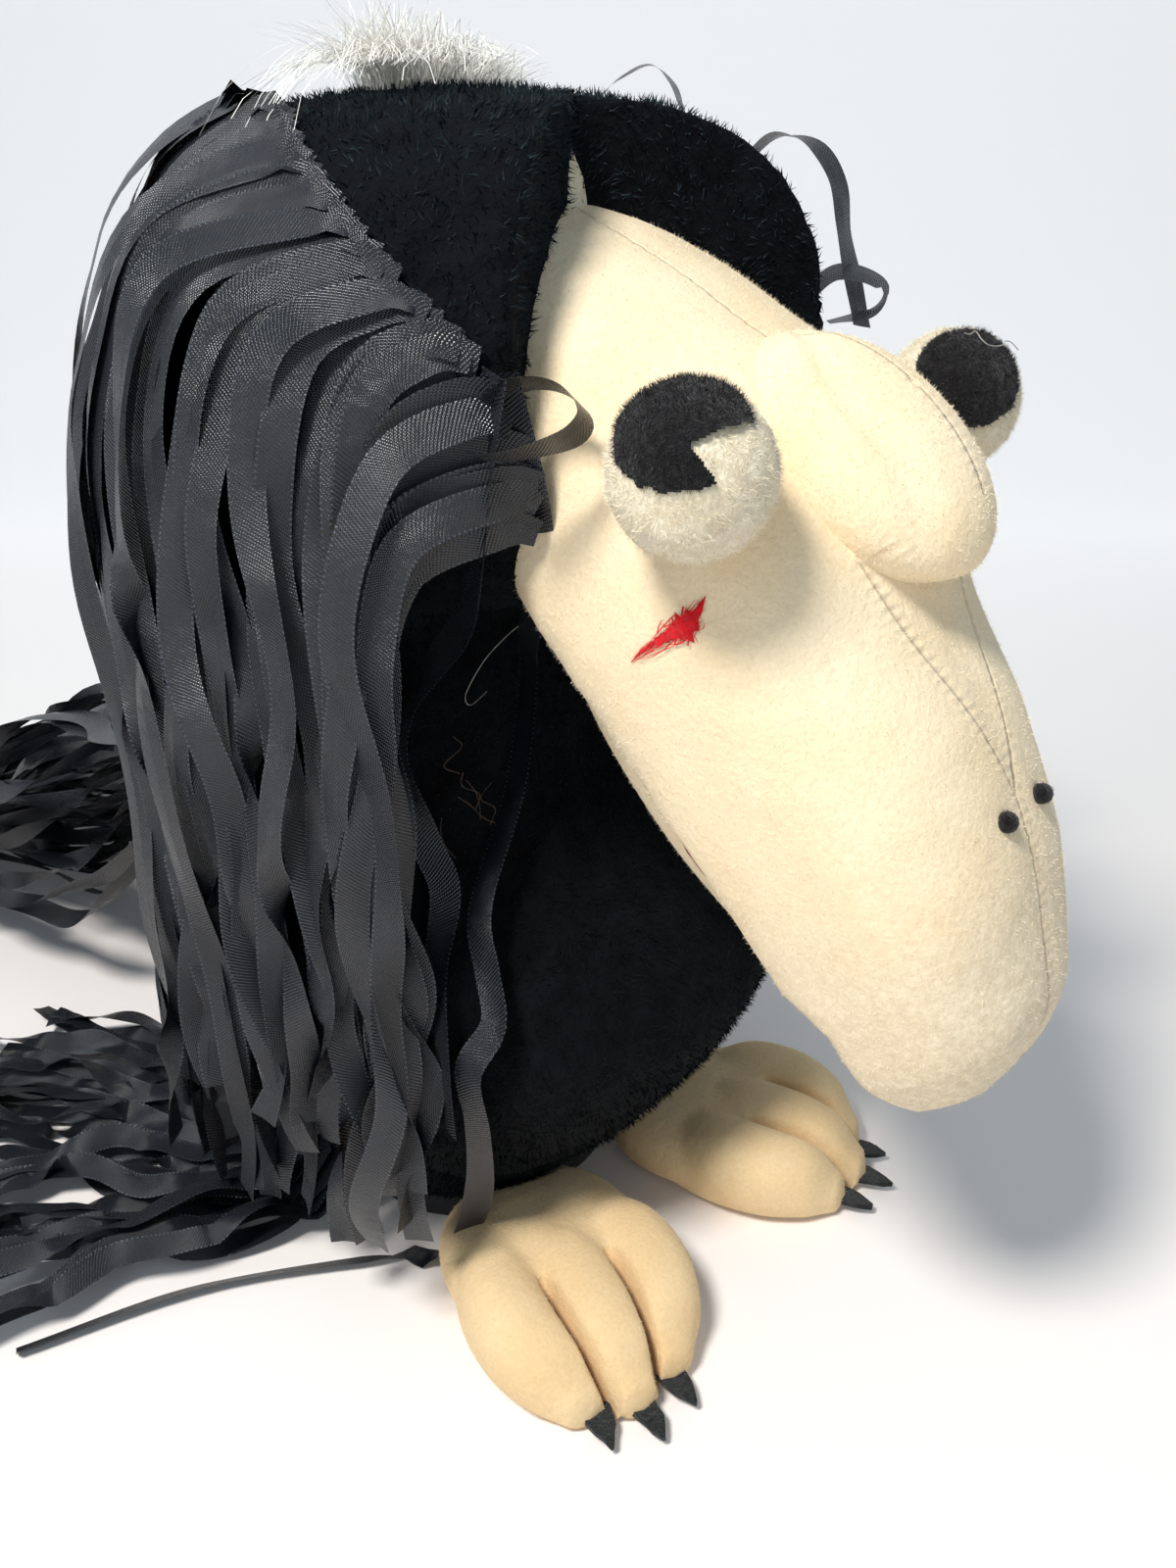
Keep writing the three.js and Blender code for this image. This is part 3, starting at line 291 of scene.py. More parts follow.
def pile(name, source, count, length, width, lean, seed, lift=0.0, curl=6.0):
    """Short fibres over a mesh: one narrow blade each, leaning the way the pile lies."""
    random = np.random.default_rng(seed)
    mesh = source.data
    mesh.calc_loop_triangles()
    co = np.zeros(len(mesh.vertices) * 3, np.float32)
    mesh.vertices.foreach_get("co", co)
    co = co.reshape(-1, 3).astype(float)
    tris = np.zeros(len(mesh.loop_triangles) * 3, np.int32)
    mesh.loop_triangles.foreach_get("vertices", tris)
    tris = tris.reshape(-1, 3)
    a, b, c = co[tris[:, 0]], co[tris[:, 1]], co[tris[:, 2]]
    normal = np.cross(b - a, c - a)
    area = np.linalg.norm(normal, axis=1)
    pick = random.choice(len(tris), count, p=area / area.sum())
    u, v = random.random(count), random.random(count)
    flip = u + v > 1
    u[flip], v[flip] = 1 - u[flip], 1 - v[flip]
    root = a[pick] + (b[pick] - a[pick]) * u[:, None] + (c[pick] - a[pick]) * v[:, None]
    n = normal[pick] / np.maximum(area[pick], 1e-12)[:, None]
    field = np.array([
        list(noise.noise_vector(Vector((p / (curl * MM)).tolist()))) for p in root
    ])
    wander = random.normal(size=(count, 3)) * 0.35 + field * lean * 1.6
    direction = n + wander
    direction -= n * np.minimum((direction * n).sum(1) - 0.25, 0)[:, None]
    direction = normal_rows(direction)
    side = normal_rows(np.cross(direction, random.normal(size=(count, 3))))
    size = length * MM * (0.55 + 0.45 * random.random(count))[:, None]
    root = root + n * lift * MM
    half = side * width * MM / 2
    verts = np.stack([root - half, root + half, root + direction * size], axis=1).reshape(-1, 3)
    verts[:, 2] = np.maximum(verts[:, 2], TABLE_GAP * MM)
    faces = np.arange(count * 3).reshape(-1, 3)
    return new_object(name, verts, faces, smooth=False)


# Materials
def srgb(red, green, blue):
    def linear(value):
        value /= 255
        return value / 12.92 if value <= 0.04045 else ((value + 0.055) / 1.055) ** 2.4

    return (linear(red), linear(green), linear(blue), 1)


class Shader:
    """A material with a few helpers for its nodes."""

    def __init__(self, name, color, roughness, sheen=0.0, specular=0.5):
        self.material = bpy.data.materials.new(name)
        self.material.use_nodes = True
        self.nodes = self.material.node_tree.nodes
        self.links = self.material.node_tree.links
        self.shader = self.nodes["Principled BSDF"]
        self.feed(self.shader, {
            "Base Color": color, "Roughness": roughness, "Specular IOR Level": specular,
            "Sheen Weight": sheen, "Sheen Roughness": 0.5,
        })
        self.material.diffuse_color = color
        self.height = None
        self.position = self.add("TexCoord").outputs["Object"]
        self.uv = self.add("TexCoord").outputs["UV"]

    def feed(self, node, values):
        """Gives sockets of a node their constants, or links them to another node's output."""
        for key, value in values.items():
            if isinstance(value, (int, float, tuple)):
                node.inputs[key].default_value = value
            else:
                self.links.new(value, node.inputs[key])
        return node

    def add(self, kind, values=None, **settings):
        node = self.nodes.new("ShaderNode" + kind)
        for key, value in settings.items():
            setattr(node, key, value)
        return self.feed(node, values or {})

    def noise(self, scale, detail=3.0, roughness=0.5, distortion=0.0):
        return self.add("TexNoise", {
            "Scale": scale, "Detail": detail, "Roughness": roughness, "Distortion": distortion,
            "Vector": self.position,
        }).outputs["Fac"]

    def ramp(self, value, low, high, first, second):
        node = self.add("ValToRGB", {"Fac": value})
        elements = node.color_ramp.elements
        elements[0].position, elements[1].position = low, high
        elements[0].color, elements[1].color = first, second
        return node.outputs["Color"]

    def math(self, operation, *values):
        return self.add("Math", dict(enumerate(values)), operation=operation).outputs[0]

    def between(self, value, low, high):
        """Nothing below the first value, one above the second, and even steps in between."""
        return self.add("MapRange", {"From Min": low, "From Max": high, "Value": value}).outputs[0]

    def split(self, vector):
        return self.add("SeparateXYZ", {0: vector}).outputs

    def times(self, a, b):
        return self.math("MULTIPLY", a, b)

    def plus(self, a, b):
        return self.math("ADD", a, b)

    def minus(self, a, b):
        return self.math("SUBTRACT", a, b)

    def size(self, value):
        return self.math("ABSOLUTE", value)

    def sine(self, value):
        return self.math("SINE", value)

    def mix(self, factor, first, second, blend="MIX"):
        sockets = {0: factor, 6: first, 7: second}
        return self.add("Mix", sockets, data_type="RGBA", blend_type=blend).outputs[2]

    def color(self, output):
        self.feed(self.shader, {"Base Color": output})

    def bump(self, height, strength, distance):
        values = {"Strength": strength, "Distance": distance, "Height": height}
        if self.height is not None:
            values["Normal"] = self.height
        self.height = self.add("Bump", values).outputs["Normal"]
        self.feed(self.shader, {"Normal": self.height})


def plush_material():
    m = Shader("black_plush", srgb(8, 9, 11), 0.95, sheen=0.05, specular=0.1)
    m.shader.inputs["Sheen Tint"].default_value = srgb(90, 120, 135)
    m.color(m.ramp(m.noise(90, 4, 0.6), 0.35, 0.7, srgb(5, 5, 7), srgb(13, 16, 19)))
    m.bump(m.noise(420, 4, 0.65), 0.9, 0.002)
    m.bump(m.noise(90, 3, 0.5), 0.5, 0.004)
    return m.material


def pile_material():
    """Black at the belly, with bluish tips towards the crown: painted sheen, where the light from above falls
    on the pile.
    """
    m = Shader("black_pile", srgb(10, 12, 14), 0.8, sheen=0.08, specular=0.12)
    m.shader.inputs["Sheen Tint"].default_value = srgb(100, 130, 145)
    # Painted sheen: towards the crown the pile is painted lighter and bluish, as the light from above catches
    # it
    high = m.between(m.split(m.position)[2], 0.26, 0.37)
    clumps = m.noise(120, 3, 0.6)
    low_tone = m.ramp(clumps, 0.4, 0.75, srgb(5, 5, 7), srgb(15, 18, 21))
    crown_sheen_tone = m.ramp(clumps, 0.35, 0.72, srgb(8, 10, 12), srgb(38, 52, 58))
    m.color(m.mix(high, low_tone, crown_sheen_tone))
    return m.material


def fleece_material(name, light, dark, fuzz=1.0, shade=None):
    m = Shader(name, light, 0.95, sheen=0.15, specular=0.12)
    m.shader.inputs["Sheen Tint"].default_value = srgb(255, 248, 232)
    fine = m.noise(700, 3, 0.6)
    base = m.ramp(m.noise(28, 4, 0.55), 0.3, 0.72, dark, light)
    if shade:
        base = shade(m, base)
    speck = m.ramp(fine, 0.3, 0.8, (0.9, 0.88, 0.85, 1), (1, 1, 1, 1))
    m.color(m.mix(1.0, base, speck, "MULTIPLY"))
    m.bump(fine, 0.4 * fuzz, 0.0009)
    m.bump(m.noise(190, 3, 0.6), 0.35 * fuzz, 0.0014)
    return m.material


def paint_slit_shade(m, base):
    """Painted shade in the slits between the toes: a deeper, browner colour where the toes draw in."""
    node = m.add("Attribute", attribute_name="slit_shade")
    return m.mix(m.between(node.outputs["Fac"], 0.35, 1), base, srgb(150, 92, 54))


GUSSET_FROM = 0.052
GUSSET_TO = 0.125
GUSSET_HALF_WIDTH = 0.024
STITCH_PITCH = 0.0032


def beak_seams(m, base):
    """Centre seam of the beak and the two gusset seams that meet it near the tip, and a greyer, mottled tip.
    """
    root = place(BEAK_ROOT)
    x, y, z = m.split(m.position)
    forward = m.times(m.minus(y, float(root[1])), float(BEAK_DOWN[1]))
    down = m.times(m.minus(z, float(root[2])), float(BEAK_DOWN[2]))
    s = m.plus(forward, down)
    narrowing = m.times(m.minus(1.0, m.between(s, GUSSET_FROM, GUSSET_TO)), GUSSET_HALF_WIDTH)
    gusset = m.times(narrowing, m.math("GREATER_THAN", s, GUSSET_FROM))
    distance = m.size(m.minus(m.size(x), gusset))
    line = m.minus(1.0, m.between(distance, 0.0002, 0.0011))
    puckers = m.minus(1.0, m.between(distance, 0.0004, 0.0045))
    stitches = m.times(m.sine(m.times(s, 2 * math.pi / STITCH_PITCH)), puckers)
    m.bump(m.minus(1.0, line), 0.6, 0.0012)
    m.bump(stitches, 0.25, 0.0006)
    # Towards the tip the fleece turns greyer and mottled
    tip = m.between(s, 0.1, 0.2)
    tip_mottle = m.ramp(m.noise(330, 4, 0.7), 0.42, 0.7, srgb(206, 190, 164), srgb(238, 226, 204))
    tip_tone = m.mix(m.times(tip, 0.75), base, tip_mottle)
    dark_line = m.times(line, m.plus(m.times(tip, 0.35), 0.18))
    return m.mix(dark_line, tip_tone, srgb(176, 140, 108))


def felt_material(name, light, dark, scale=500):
    m = Shader(name, light, 0.95, sheen=0.2, specular=0.15)
    m.color(m.ramp(m.noise(150, 4, 0.6, distortion=1.5), 0.3, 0.7, dark, light))
    m.bump(m.noise(scale, 4, 0.7, distortion=2.0), 0.8, 0.0012)
    return m.material


TWILL_PITCH = 0.0011
PICOT_PITCH = 0.0016


def satin_material():
    m = Shader("black_satin", srgb(12, 14, 19), 0.25, sheen=0.02, specular=0.6)
    m.shader.inputs["Anisotropic"].default_value = 0.6
    tangent = m.add("Tangent", direction_type="UV_MAP", uv_map="along")
    m.feed(m.shader, {"Tangent": tangent.outputs[0]})
    along, across, _ = m.split(m.uv)
    # The weave is a fine slanting twill: rows of short floats, each row shifted against the last
    turns = 2 * math.pi / TWILL_PITCH
    slant = m.plus(along, m.times(across, 0.6))
    counter = m.minus(across, m.times(along, 0.45))
    rows = m.sine(m.times(slant, turns))
    floats = m.sine(m.times(counter, turns * 1.4))
    weave = m.times(rows, m.plus(m.times(floats, 0.5), 0.5))
    edge = m.times(m.size(across), 2 / (RIBBON * MM))
    picot = m.sine(m.times(along, 2 * math.pi / PICOT_PITCH))
    selvage = m.math("GREATER_THAN", edge, 0.88)
    tone = m.ramp(m.noise(45, 3), 0.3, 0.75, srgb(5, 7, 10), srgb(14, 17, 25))
    # Painted sheen: the floats of the twill are painted lighter than the black ribbon, as if they caught the
    # light
    weave_sheen = m.mix(m.times(m.math("GREATER_THAN", weave, 0.1), 0.5), tone, srgb(34, 39, 48))
    # Painted highlight: the picot loops along each edge are painted as bright glints
    picot_glint = m.ramp(picot, 0.2, 0.8, srgb(8, 9, 12), srgb(66, 72, 84))
    m.color(m.mix(m.times(selvage, 0.75), weave_sheen, picot_glint))
    m.bump(weave, 0.5, 0.0004)
    m.bump(m.noise(70, 3), 0.5, 0.0016)
    return m.material


def plain_material(name, light, dark, roughness, scale=300.0):
    m = Shader(name, light, roughness, sheen=0.1)
    m.color(m.ramp(m.noise(scale, 4, 0.6), 0.3, 0.7, dark, light))
    m.bump(m.noise(scale * 4, 3, 0.6), 0.5, 0.0005)
    return m.material


PLUSH = plush_material()
PILE = pile_material()
FLEECE = fleece_material("cream_fleece", srgb(245, 229, 198), srgb(238, 216, 178), shade=beak_seams)
FOOT_FLEECE = fleece_material("foot_fleece", srgb(238, 212, 168), srgb(228, 196, 148), shade=paint_slit_shade)
FLEECE_FUZZ = plain_material("fleece_fuzz", srgb(246, 233, 208), srgb(238, 220, 188), 0.95)
FOOT_FUZZ = plain_material("foot_fuzz", srgb(240, 218, 178), srgb(230, 203, 158), 0.95)
EYE_WOOL = felt_material("eye_wool", srgb(243, 234, 210), srgb(224, 208, 176))
EYE_FUZZ = plain_material("eye_fuzz", srgb(244, 236, 214), srgb(228, 215, 186), 0.9)
BLACK_WOOL = felt_material("black_wool", srgb(20, 15, 18), srgb(6, 5, 7))
CLAW_FELT = felt_material("claw_felt", srgb(34, 40, 38), srgb(12, 15, 15))
RED_WOOL = felt_material("red_wool", srgb(236, 22, 34), srgb(206, 10, 22))
LINT = plain_material("pale_lint", srgb(196, 192, 180), srgb(150, 146, 136), 0.8)
BROWN_LINT = plain_material("brown_lint", srgb(92, 72, 54), srgb(52, 40, 32), 0.9)
SATIN = satin_material()
TUFT = plain_material("tuft_fibre", srgb(250, 248, 242), srgb(228, 224, 214), 0.38)
LINING = plain_material("lining_cloth", srgb(34, 34, 38), srgb(20, 20, 23), 0.9)
MOUTH = felt_material("mouth_felt", srgb(150, 44, 46), srgb(108, 26, 32))
BOARD = plain_material("fibre_board", srgb(150, 120, 86), srgb(116, 90, 62), 0.8)
ELASTIC = plain_material("woven_elastic", srgb(240, 240, 236), srgb(214, 214, 208), 0.8)
STUFFING = plain_material("stuffing", srgb(222, 214, 192), srgb(200, 190, 166), 0.95)

NODE_MATERIALS = {
    "hem_band": LINING,
    "arm_sleeve": LINING,
    "body_foam": STUFFING,
    "head_foam": STUFFING,
    "palate_plate": BOARD,
    "jaw_plate": BOARD,
    "palate_lining": MOUTH,
    "jaw_lining": MOUTH,
    "mouth_hinge_roll": MOUTH,
    "finger_strap": ELASTIC,
    "thumb_strap": ELASTIC,
}


def dress_nodes():
    for name, material in NODE_MATERIALS.items():
        node = frame["nodes"][name]
        node.data.materials.clear()
        node.data.materials.append(material)


def finish_piece(obj, material, body, slot, *nodes):
    obj.data.materials.append(material)
    if body:
        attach(obj, body)
    if nodes:
        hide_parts(*nodes)
    return obj


def add_fuzz(obj, name, facts, material, body, slot, curl=6.0):
    """Fine fibres over a piece: how many, their length, width and lean, and their seed."""
    finish_piece(pile(name, obj, *facts, curl=curl), material, body, slot)


# Plush skin of the body and the hood, one fabric drawn in at the neck
SKIN_SIDES = 160
NECK_PINCH = 3.0
HEM_TURN_IN = 9


def skin_rings():
    rings = []
    for row in range(61):
        z = HEM_HEIGHT + (BODY_HEIGHT - 4 - HEM_HEIGHT) * row / 60
        rings.append([body_point(z, turn, 0) for turn in TURNS])
    low = [body_point(BODY_HEIGHT, turn, 0) for turn in TURNS]
    high = [hood_point(0, turn, 0) for turn in TURNS]
    for step in range(1, 6):
        t = step / 6
        pinch = NECK_PINCH * math.sin(math.pi * t)
        rings.append([a + (b - a) * t - unit(a) * pinch for a, b in zip(low, high)])
    for row in range(46):
        share = 0.988 * (1 - (1 - row / 45) ** 1.35)
        rings.append([hood_point(share, turn, 0) for turn in TURNS])
    return rings


def unit(p):
    flat = np.array([p[0], p[1], 0])
    return flat / max(np.linalg.norm(flat), 1e-6)


TURNS = around(SKIN_SIDES)


def make_skin():
    rings = skin_rings()
    verts, faces = loft(rings, end=np.array([0, -CROWN_SETBACK, HOOD_TOP - 0.5]))
    inner = [body_point(HEM_HEIGHT, turn, -HEM_TURN_IN) for turn in TURNS]
    start = len(verts)
    verts += inner
    for k in range(SKIN_SIDES):
        following = (k + 1) % SKIN_SIDES
        faces.append((following, k, start + k, start + following))
    moved = []
    for p in verts:
        p = np.array(p)
        swell = 2.2 * lump(p, 34, 1) + 1.0 * lump(p, 13, 4)
        moved.append(p + unit(p) * (swell - 1.0) * min(1, max(0, (p[2] - HEM_HEIGHT) / 12)))
    obj = new_object("plush_skin", place(moved), faces)
    obj.data.materials.append(PLUSH)
    fur = pile("plush_pile", obj, 62000, 3.6, 0.55, 0.9, 11, curl=11)
    fur.data.materials.append(PILE)
    for piece in (obj, fur):
        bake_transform(piece)
    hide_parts("body_plush", "head_plush")


# Beak
BEAK_SIDES = 112
BEAK_ROWS = 120


def beak_surface(station, turn, out=0.0):
    _, low_s, low_h, high_s, high_h, width = spline(BEAK_SHARES, station)
    low = beak_place(0, low_s * BEAK_LENGTH, low_h * BEAK_DEPTH - out)
    high = beak_place(0, high_s * BEAK_LENGTH, high_h * BEAK_DEPTH + out)
    x, rise = round_point(turn, width * BEAK_HALF_WIDTH + out, 0.36, 0.64, 5, 2.5)
    p = low + (high - low) * (0.36 + rise)
    p[0] = x
    return p


def groove(distance, depth, width):
    return -depth * math.exp(-((distance / width) ** 2))


MOUTH_LENGTH = 158
MOUTH_HALF_WIDTH = 44
RIM_LAP = 7.5


def mouth_half_width(s):
    """Half the width of the mouth plates at a place down the beak."""
    tip = MOUTH_LENGTH * 0.62
    rise = clamp((s - tip) / (MOUTH_LENGTH - tip))
    return MOUTH_HALF_WIDTH * math.sqrt(1 - rise**2) * (1 - 0.22 * rise)


def make_upper_beak():
    rings = []
    last = BEAK_SHARES[-1][0]
    for row in range(BEAK_ROWS + 1):
        station = 0.6 + (last - 0.6) * row / BEAK_ROWS
        ring = []
        for turn in around(BEAK_SIDES):
            p = beak_surface(station, turn)
            if math.sin(turn) > 0:
                # Centre seam over the ridge and down the front, with the gathers of its stitches
                pucker = 0.2 * math.sin(station * 42)
                p = p + BEAK_UP * groove(p[0], 0.8 + pucker, 2.2)
            swell = 1.0 * lump(p, 30, 9) + 0.4 * lump(p, 11, 3)
            ring.append(p + swell * (p - beak_place(0, 60, 20)) / 90)
        rings.append(ring)
    verts, faces = loft(rings, start=beak_place(0, -40, 20), end=beak_place(0, BEAK_LENGTH, 0))
    # The underside is flat over the palate, and its rim laps down round the mouth plates
    flat = []
    for p in verts:
        q = np.array(p) - BEAK_ROOT
        h = q @ BEAK_UP
        s = q @ BEAK_DOWN
        if s < 150 and h < -PALATE_DROP + 0.2:
            p = p + BEAK_UP * (-PALATE_DROP + 0.2 - h)
        low = clamp((-2 - h) / 10)
        beside = clamp((abs(p[0]) - mouth_half_width(s) - 1) / 4)
        ends = clamp((s + 4) / 12) * clamp((MOUTH_LENGTH + 4 - s) / 16)
        flat.append(p - BEAK_UP * RIM_LAP * low * beside * ends)
    obj = new_object("upper_beak", place(flat), faces)
    finish_piece(obj, FLEECE, "head", "fleece", "beak_upper")
    add_fuzz(obj, "upper_beak_fuzz", (32000, 1.3, 0.15, 0.6, 21), FLEECE_FUZZ, "head", "fleece")
    return BVHTree.FromPolygons([v.co for v in obj.data.vertices], [p.vertices for p in obj.data.polygons])


# Lower beak: how far down the beak, half-width and depth, as shares of its sizes
LOWER_SHARES = np.array([
    [0, 0.98, 0.5], [0.12, 1, 0.8], [0.35, 1, 1], [0.6, 0.93, 0.92],
    [0.8, 0.78, 0.7], [0.92, 0.56, 0.45], [0.98, 0.3, 0.24],
])
LOWER_ROOT = 10.2
LOWER_TIP = 150
LOWER_TOP = 22.6
LOWER_HALF_WIDTH = 37
LOWER_DEPTH = 21
LOWER_ROWS = 40
LOWER_SIDES = 56


def make_lower_beak():
    rings = []
    for row in range(LOWER_ROWS + 1):
        share = LOWER_SHARES[-1][0] * row / LOWER_ROWS
        _, width, depth = spline(LOWER_SHARES, share)
        s = LOWER_ROOT + (LOWER_TIP - LOWER_ROOT) * share
        ring = []
        for turn in around(LOWER_SIDES):
            x, rise = round_point(turn, width * LOWER_HALF_WIDTH, depth * LOWER_DEPTH, 1, 2.6, 8)
            ring.append(beak_place(x, s, rise - LOWER_TOP - 1))
        rings.append(ring)
    verts, faces = loft(
        rings,
        start=beak_place(0, LOWER_ROOT, -LOWER_TOP - 6),
        end=beak_place(0, LOWER_TIP - 0.5, -LOWER_TOP - 4),
    )
    obj = new_object("lower_beak", place(verts), faces)
    finish_piece(obj, FLEECE, "jaw", "fleece", "beak_lower")
    add_fuzz(obj, "lower_beak_fuzz", (6000, 1.1, 0.16, 0.5, 22), FLEECE_FUZZ, "jaw", "fleece")


def on_ball(polar, bearing):
    return np.array([
        math.sin(polar) * math.cos(bearing), math.sin(polar) * math.sin(bearing), math.cos(polar),
    ])


def round_mesh(rows, sides, power=2.0, shape=None):
    """Verts and faces of a rounded form of unit size; shape may move its points."""
    rings = []
    for row in range(rows - 1, 0, -1):
        polar = math.pi * row / rows
        rings.append([])
        for bearing in around(sides):
            p = on_ball(polar, bearing)
            p = p / (np.abs(p) ** power).sum() ** (1 / power)
            rings[-1].append(shape(p) if shape else p)
    return loft(rings, start=np.array([0, 0, -1.0]), end=np.array([0, 0, 1.0]))


def blob(name, centre, tilt, half, power, rows=16, sides=24, shape=None):
    verts, faces = round_mesh(rows, sides, power, shape)
    turn = np.array(Matrix.Rotation(tilt, 3, "X"))
    return new_object(name, place([turn @ (p * half) + centre for p in verts]), faces)


BROW_TILT = math.radians(34)
BROW_HALF = np.array([31, 42, 25.5])


def brow_shape(p):
    """A long swelling with a low strip on each side, and a front that tucks under into a fold."""
    x, y, z = p
    valley = 0.6 - 0.85 * max(y + 0.05, 0) ** 2
    upper = max(z, 0) ** 0.5
    dip = 0.1 * math.exp(-(((abs(x) - valley) / 0.13) ** 2)) * upper
    crown = 0.05 * math.exp(-((x / 0.4) ** 2)) * upper
    tuck = 0.3 * max(-z, 0) * max(-y, 0)
    return np.array([x, y - 0.05 * max(-y, 0) * upper + tuck, z - dip + crown])


def make_brow():
    obj = blob("brow", beak_place(0, 27, 61), BROW_TILT, BROW_HALF, 2, rows=64, sides=110, shape=brow_shape)
    finish_piece(obj, FLEECE, "head", "fleece", "brow_pad")
    add_fuzz(obj, "brow_fuzz", (9000, 1.3, 0.15, 0.6, 23), FLEECE_FUZZ, "head", "fleece")


# Eyes
EYE_RADIUS = 20.5
EYE_CENTRES = {"left": np.array([65, -149, 309]), "right": np.array([-65, -149, 309])}
# Where each black patch looks and how wide it is, and the corner and opening of the wedge cut out of it
PATCHES = {
    "right": {"look": (-0.6, -0.22, 0.77), "angle": 50, "corner": (-0.729, -0.487, 0.481), "open": (-48, 24)},
    "left": {"look": (-0.6, -0.57, 0.56), "angle": 47, "corner": None},
}


def make_eye(side):
    centre = EYE_CENTRES[side]
    verts, faces = round_mesh(48, 72)
    verts = [centre + p * (EYE_RADIUS - 0.4 + 0.5 * lump(p * 20, 7, 2)) for p in verts]
    obj = new_object(f"eyeball_{side}", place(verts), faces)
    finish_piece(obj, EYE_WOOL, "head", "eye_wool", f"eye_{side}")
    add_fuzz(obj, f"eyeball_{side}_fuzz", (8000, 1.9, 0.14, 0.9, 31), EYE_FUZZ, "head", "eye_wool", 4)
    make_patch(side, centre)


def in_wedge(p, facts, ragged):
    if facts["corner"] is None:
        return False
    across = (p - np.array(facts["corner"])) @ RIGHT
    rise = (p - np.array(facts["corner"])) @ UP
    turn = math.degrees(math.atan2(rise, across)) + ragged * 2
    return facts["open"][0] < turn < facts["open"][1] and math.hypot(across, rise) > 0.03


def make_patch(side, centre):
    facts = PATCHES[side]
    look = normal_of(np.array(facts["look"]))
    verts, faces = [], []
    count = 110
    index = {}
    for row in range(count + 1):
        polar = math.pi * row / count
        for k in range(2 * count):
            bearing = math.pi * k / count
            p = on_ball(polar, bearing)
            spread = math.degrees(math.acos(clamp(p @ look, -1)))
            if spread > facts["angle"] + 5:
                continue
            ragged = 2.6 * lump(p * 20, 4.5, 5) + 1.4 * lump(p * 20, 1.6, 3)
            if spread < facts["angle"] + ragged and not in_wedge(p, facts, ragged):
                rise = 1.0 * min(1, max(facts["angle"] + ragged - spread, 0) / 5)
                index[row, k] = len(verts)
                verts.append(centre + p * (EYE_RADIUS + rise + 0.25 * lump(p * 20, 2.5, 8)))
    for row in range(count):
        for k in range(2 * count):
            following = (k + 1) % (2 * count)
            corners = [(row, k), (row + 1, k), (row + 1, following), (row, following)]
            if all(corner in index for corner in corners):
                faces.append([index[corner] for corner in corners])
    obj = new_object(f"eye_patch_{side}", place(verts), faces)
    finish_piece(obj, BLACK_WOOL, "head", "black_wool", f"pupil_{side}")
    add_fuzz(obj, f"eye_patch_{side}_fuzz", (4200, 1.9, 0.16, 0.9, 33), BLACK_WOOL, "head", "black_wool", 4)


# The wisp in the beak's own frame: place down the beak, place up it, half-width
WISP = np.array([
    [41.7, 39.9, 0.2],
    [44.2, 36.0, 1.2],
    [45.6, 31.4, 3.3],
    [45.3, 26.8, 1.6],
    [44.8, 20.7, 0.8],
    [45.0, 16.0, 0.5],
    [45.8, 11.9, 0.12],
])
WISP_SPIKES = [(46.6, 36.6), (49.0, 32.6), (42.8, 34.8), (42.6, 29.6), (48.4, 28.8)]


def on_cheek(cheek, s, h, out):
    """The point of the beak's right side at a place down and up the beak."""
    start = beak_place(-2 * BEAK_HALF_WIDTH, s, h)
    found, _, _, _ = cheek.ray_cast(Vector(place(start)), Vector((1, 0, 0)))
    start[0] = found.x / MM - out
    return start


WISP_ROWS = 40
WISP_STRANDS = 90
NOSTRIL_RADIUS = 2.9


def make_wisp(cheek):
    rows = WISP_ROWS
    path = smooth_path(WISP, rows)
    verts, faces = [], []
    random = np.random.default_rng(5)
    for k, (s, h, half) in enumerate(path):
        half = max(half, 0.12) * (1 + 0.25 * random.normal())
        for part in (-1, -0.5, 0, 0.5, 1):
            verts.append(on_cheek(cheek, s + part * half, h, 0.35 + 1.1 * (1 - part**2) * min(1, half / 2)))
        if k:
            a = 5 * (k - 1)
            faces += [(a + j, a + j + 1, a + j + 6, a + j + 5) for j in range(4)]
    obj = new_object("cheek_wisp", place(verts), faces)
    finish_piece(obj, RED_WOOL, "head", "red_wool", "cheek_mark")
    verts, faces = [], []
    tips = [np.array(tip) for tip in WISP_SPIKES] + [path[rows - 2, :2], path[1, :2]]
    for k in range(WISP_STRANDS):
        tip = tips[k % len(tips)] + random.normal(size=2) * 0.7
        root = path[10 + k % 10, :2] + random.normal(size=2) * 1.6
        bend = random.normal(size=2) * 0.8
        start = len(verts)
        for step in range(5):
            t = step / 4
            s, h = root + (tip - root) * t * random.uniform(0.8, 1) + bend * math.sin(math.pi * t)
            w = 0.16 * (1 - 0.8 * t)
            verts += [on_cheek(cheek, s - w, h - w, 0.9), on_cheek(cheek, s + w, h + w, 0.9)]
        faces += blades(start, 4)
    strands = new_object("cheek_wisp_strands", place(verts), faces, smooth=False)
    finish_piece(strands, RED_WOOL, "head", "red_wool")


def make_nostrils():
    for side in ("left", "right"):
        low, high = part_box(f"nostril_{side}")
        centre = unplace(np.array(low + high) / 2)
        obj = blob(f"nostril_knot_{side}", centre + BEAK_UP, 0, np.full(3, NOSTRIL_RADIUS), 2)
        finish_piece(obj, BLACK_WOOL, "head", "black_wool", f"nostril_{side}")
        add_fuzz(obj, f"nostril_{side}_fuzz", (160, 1.0, 0.16, 0.8, 41), BLACK_WOOL, "head", "black_wool")


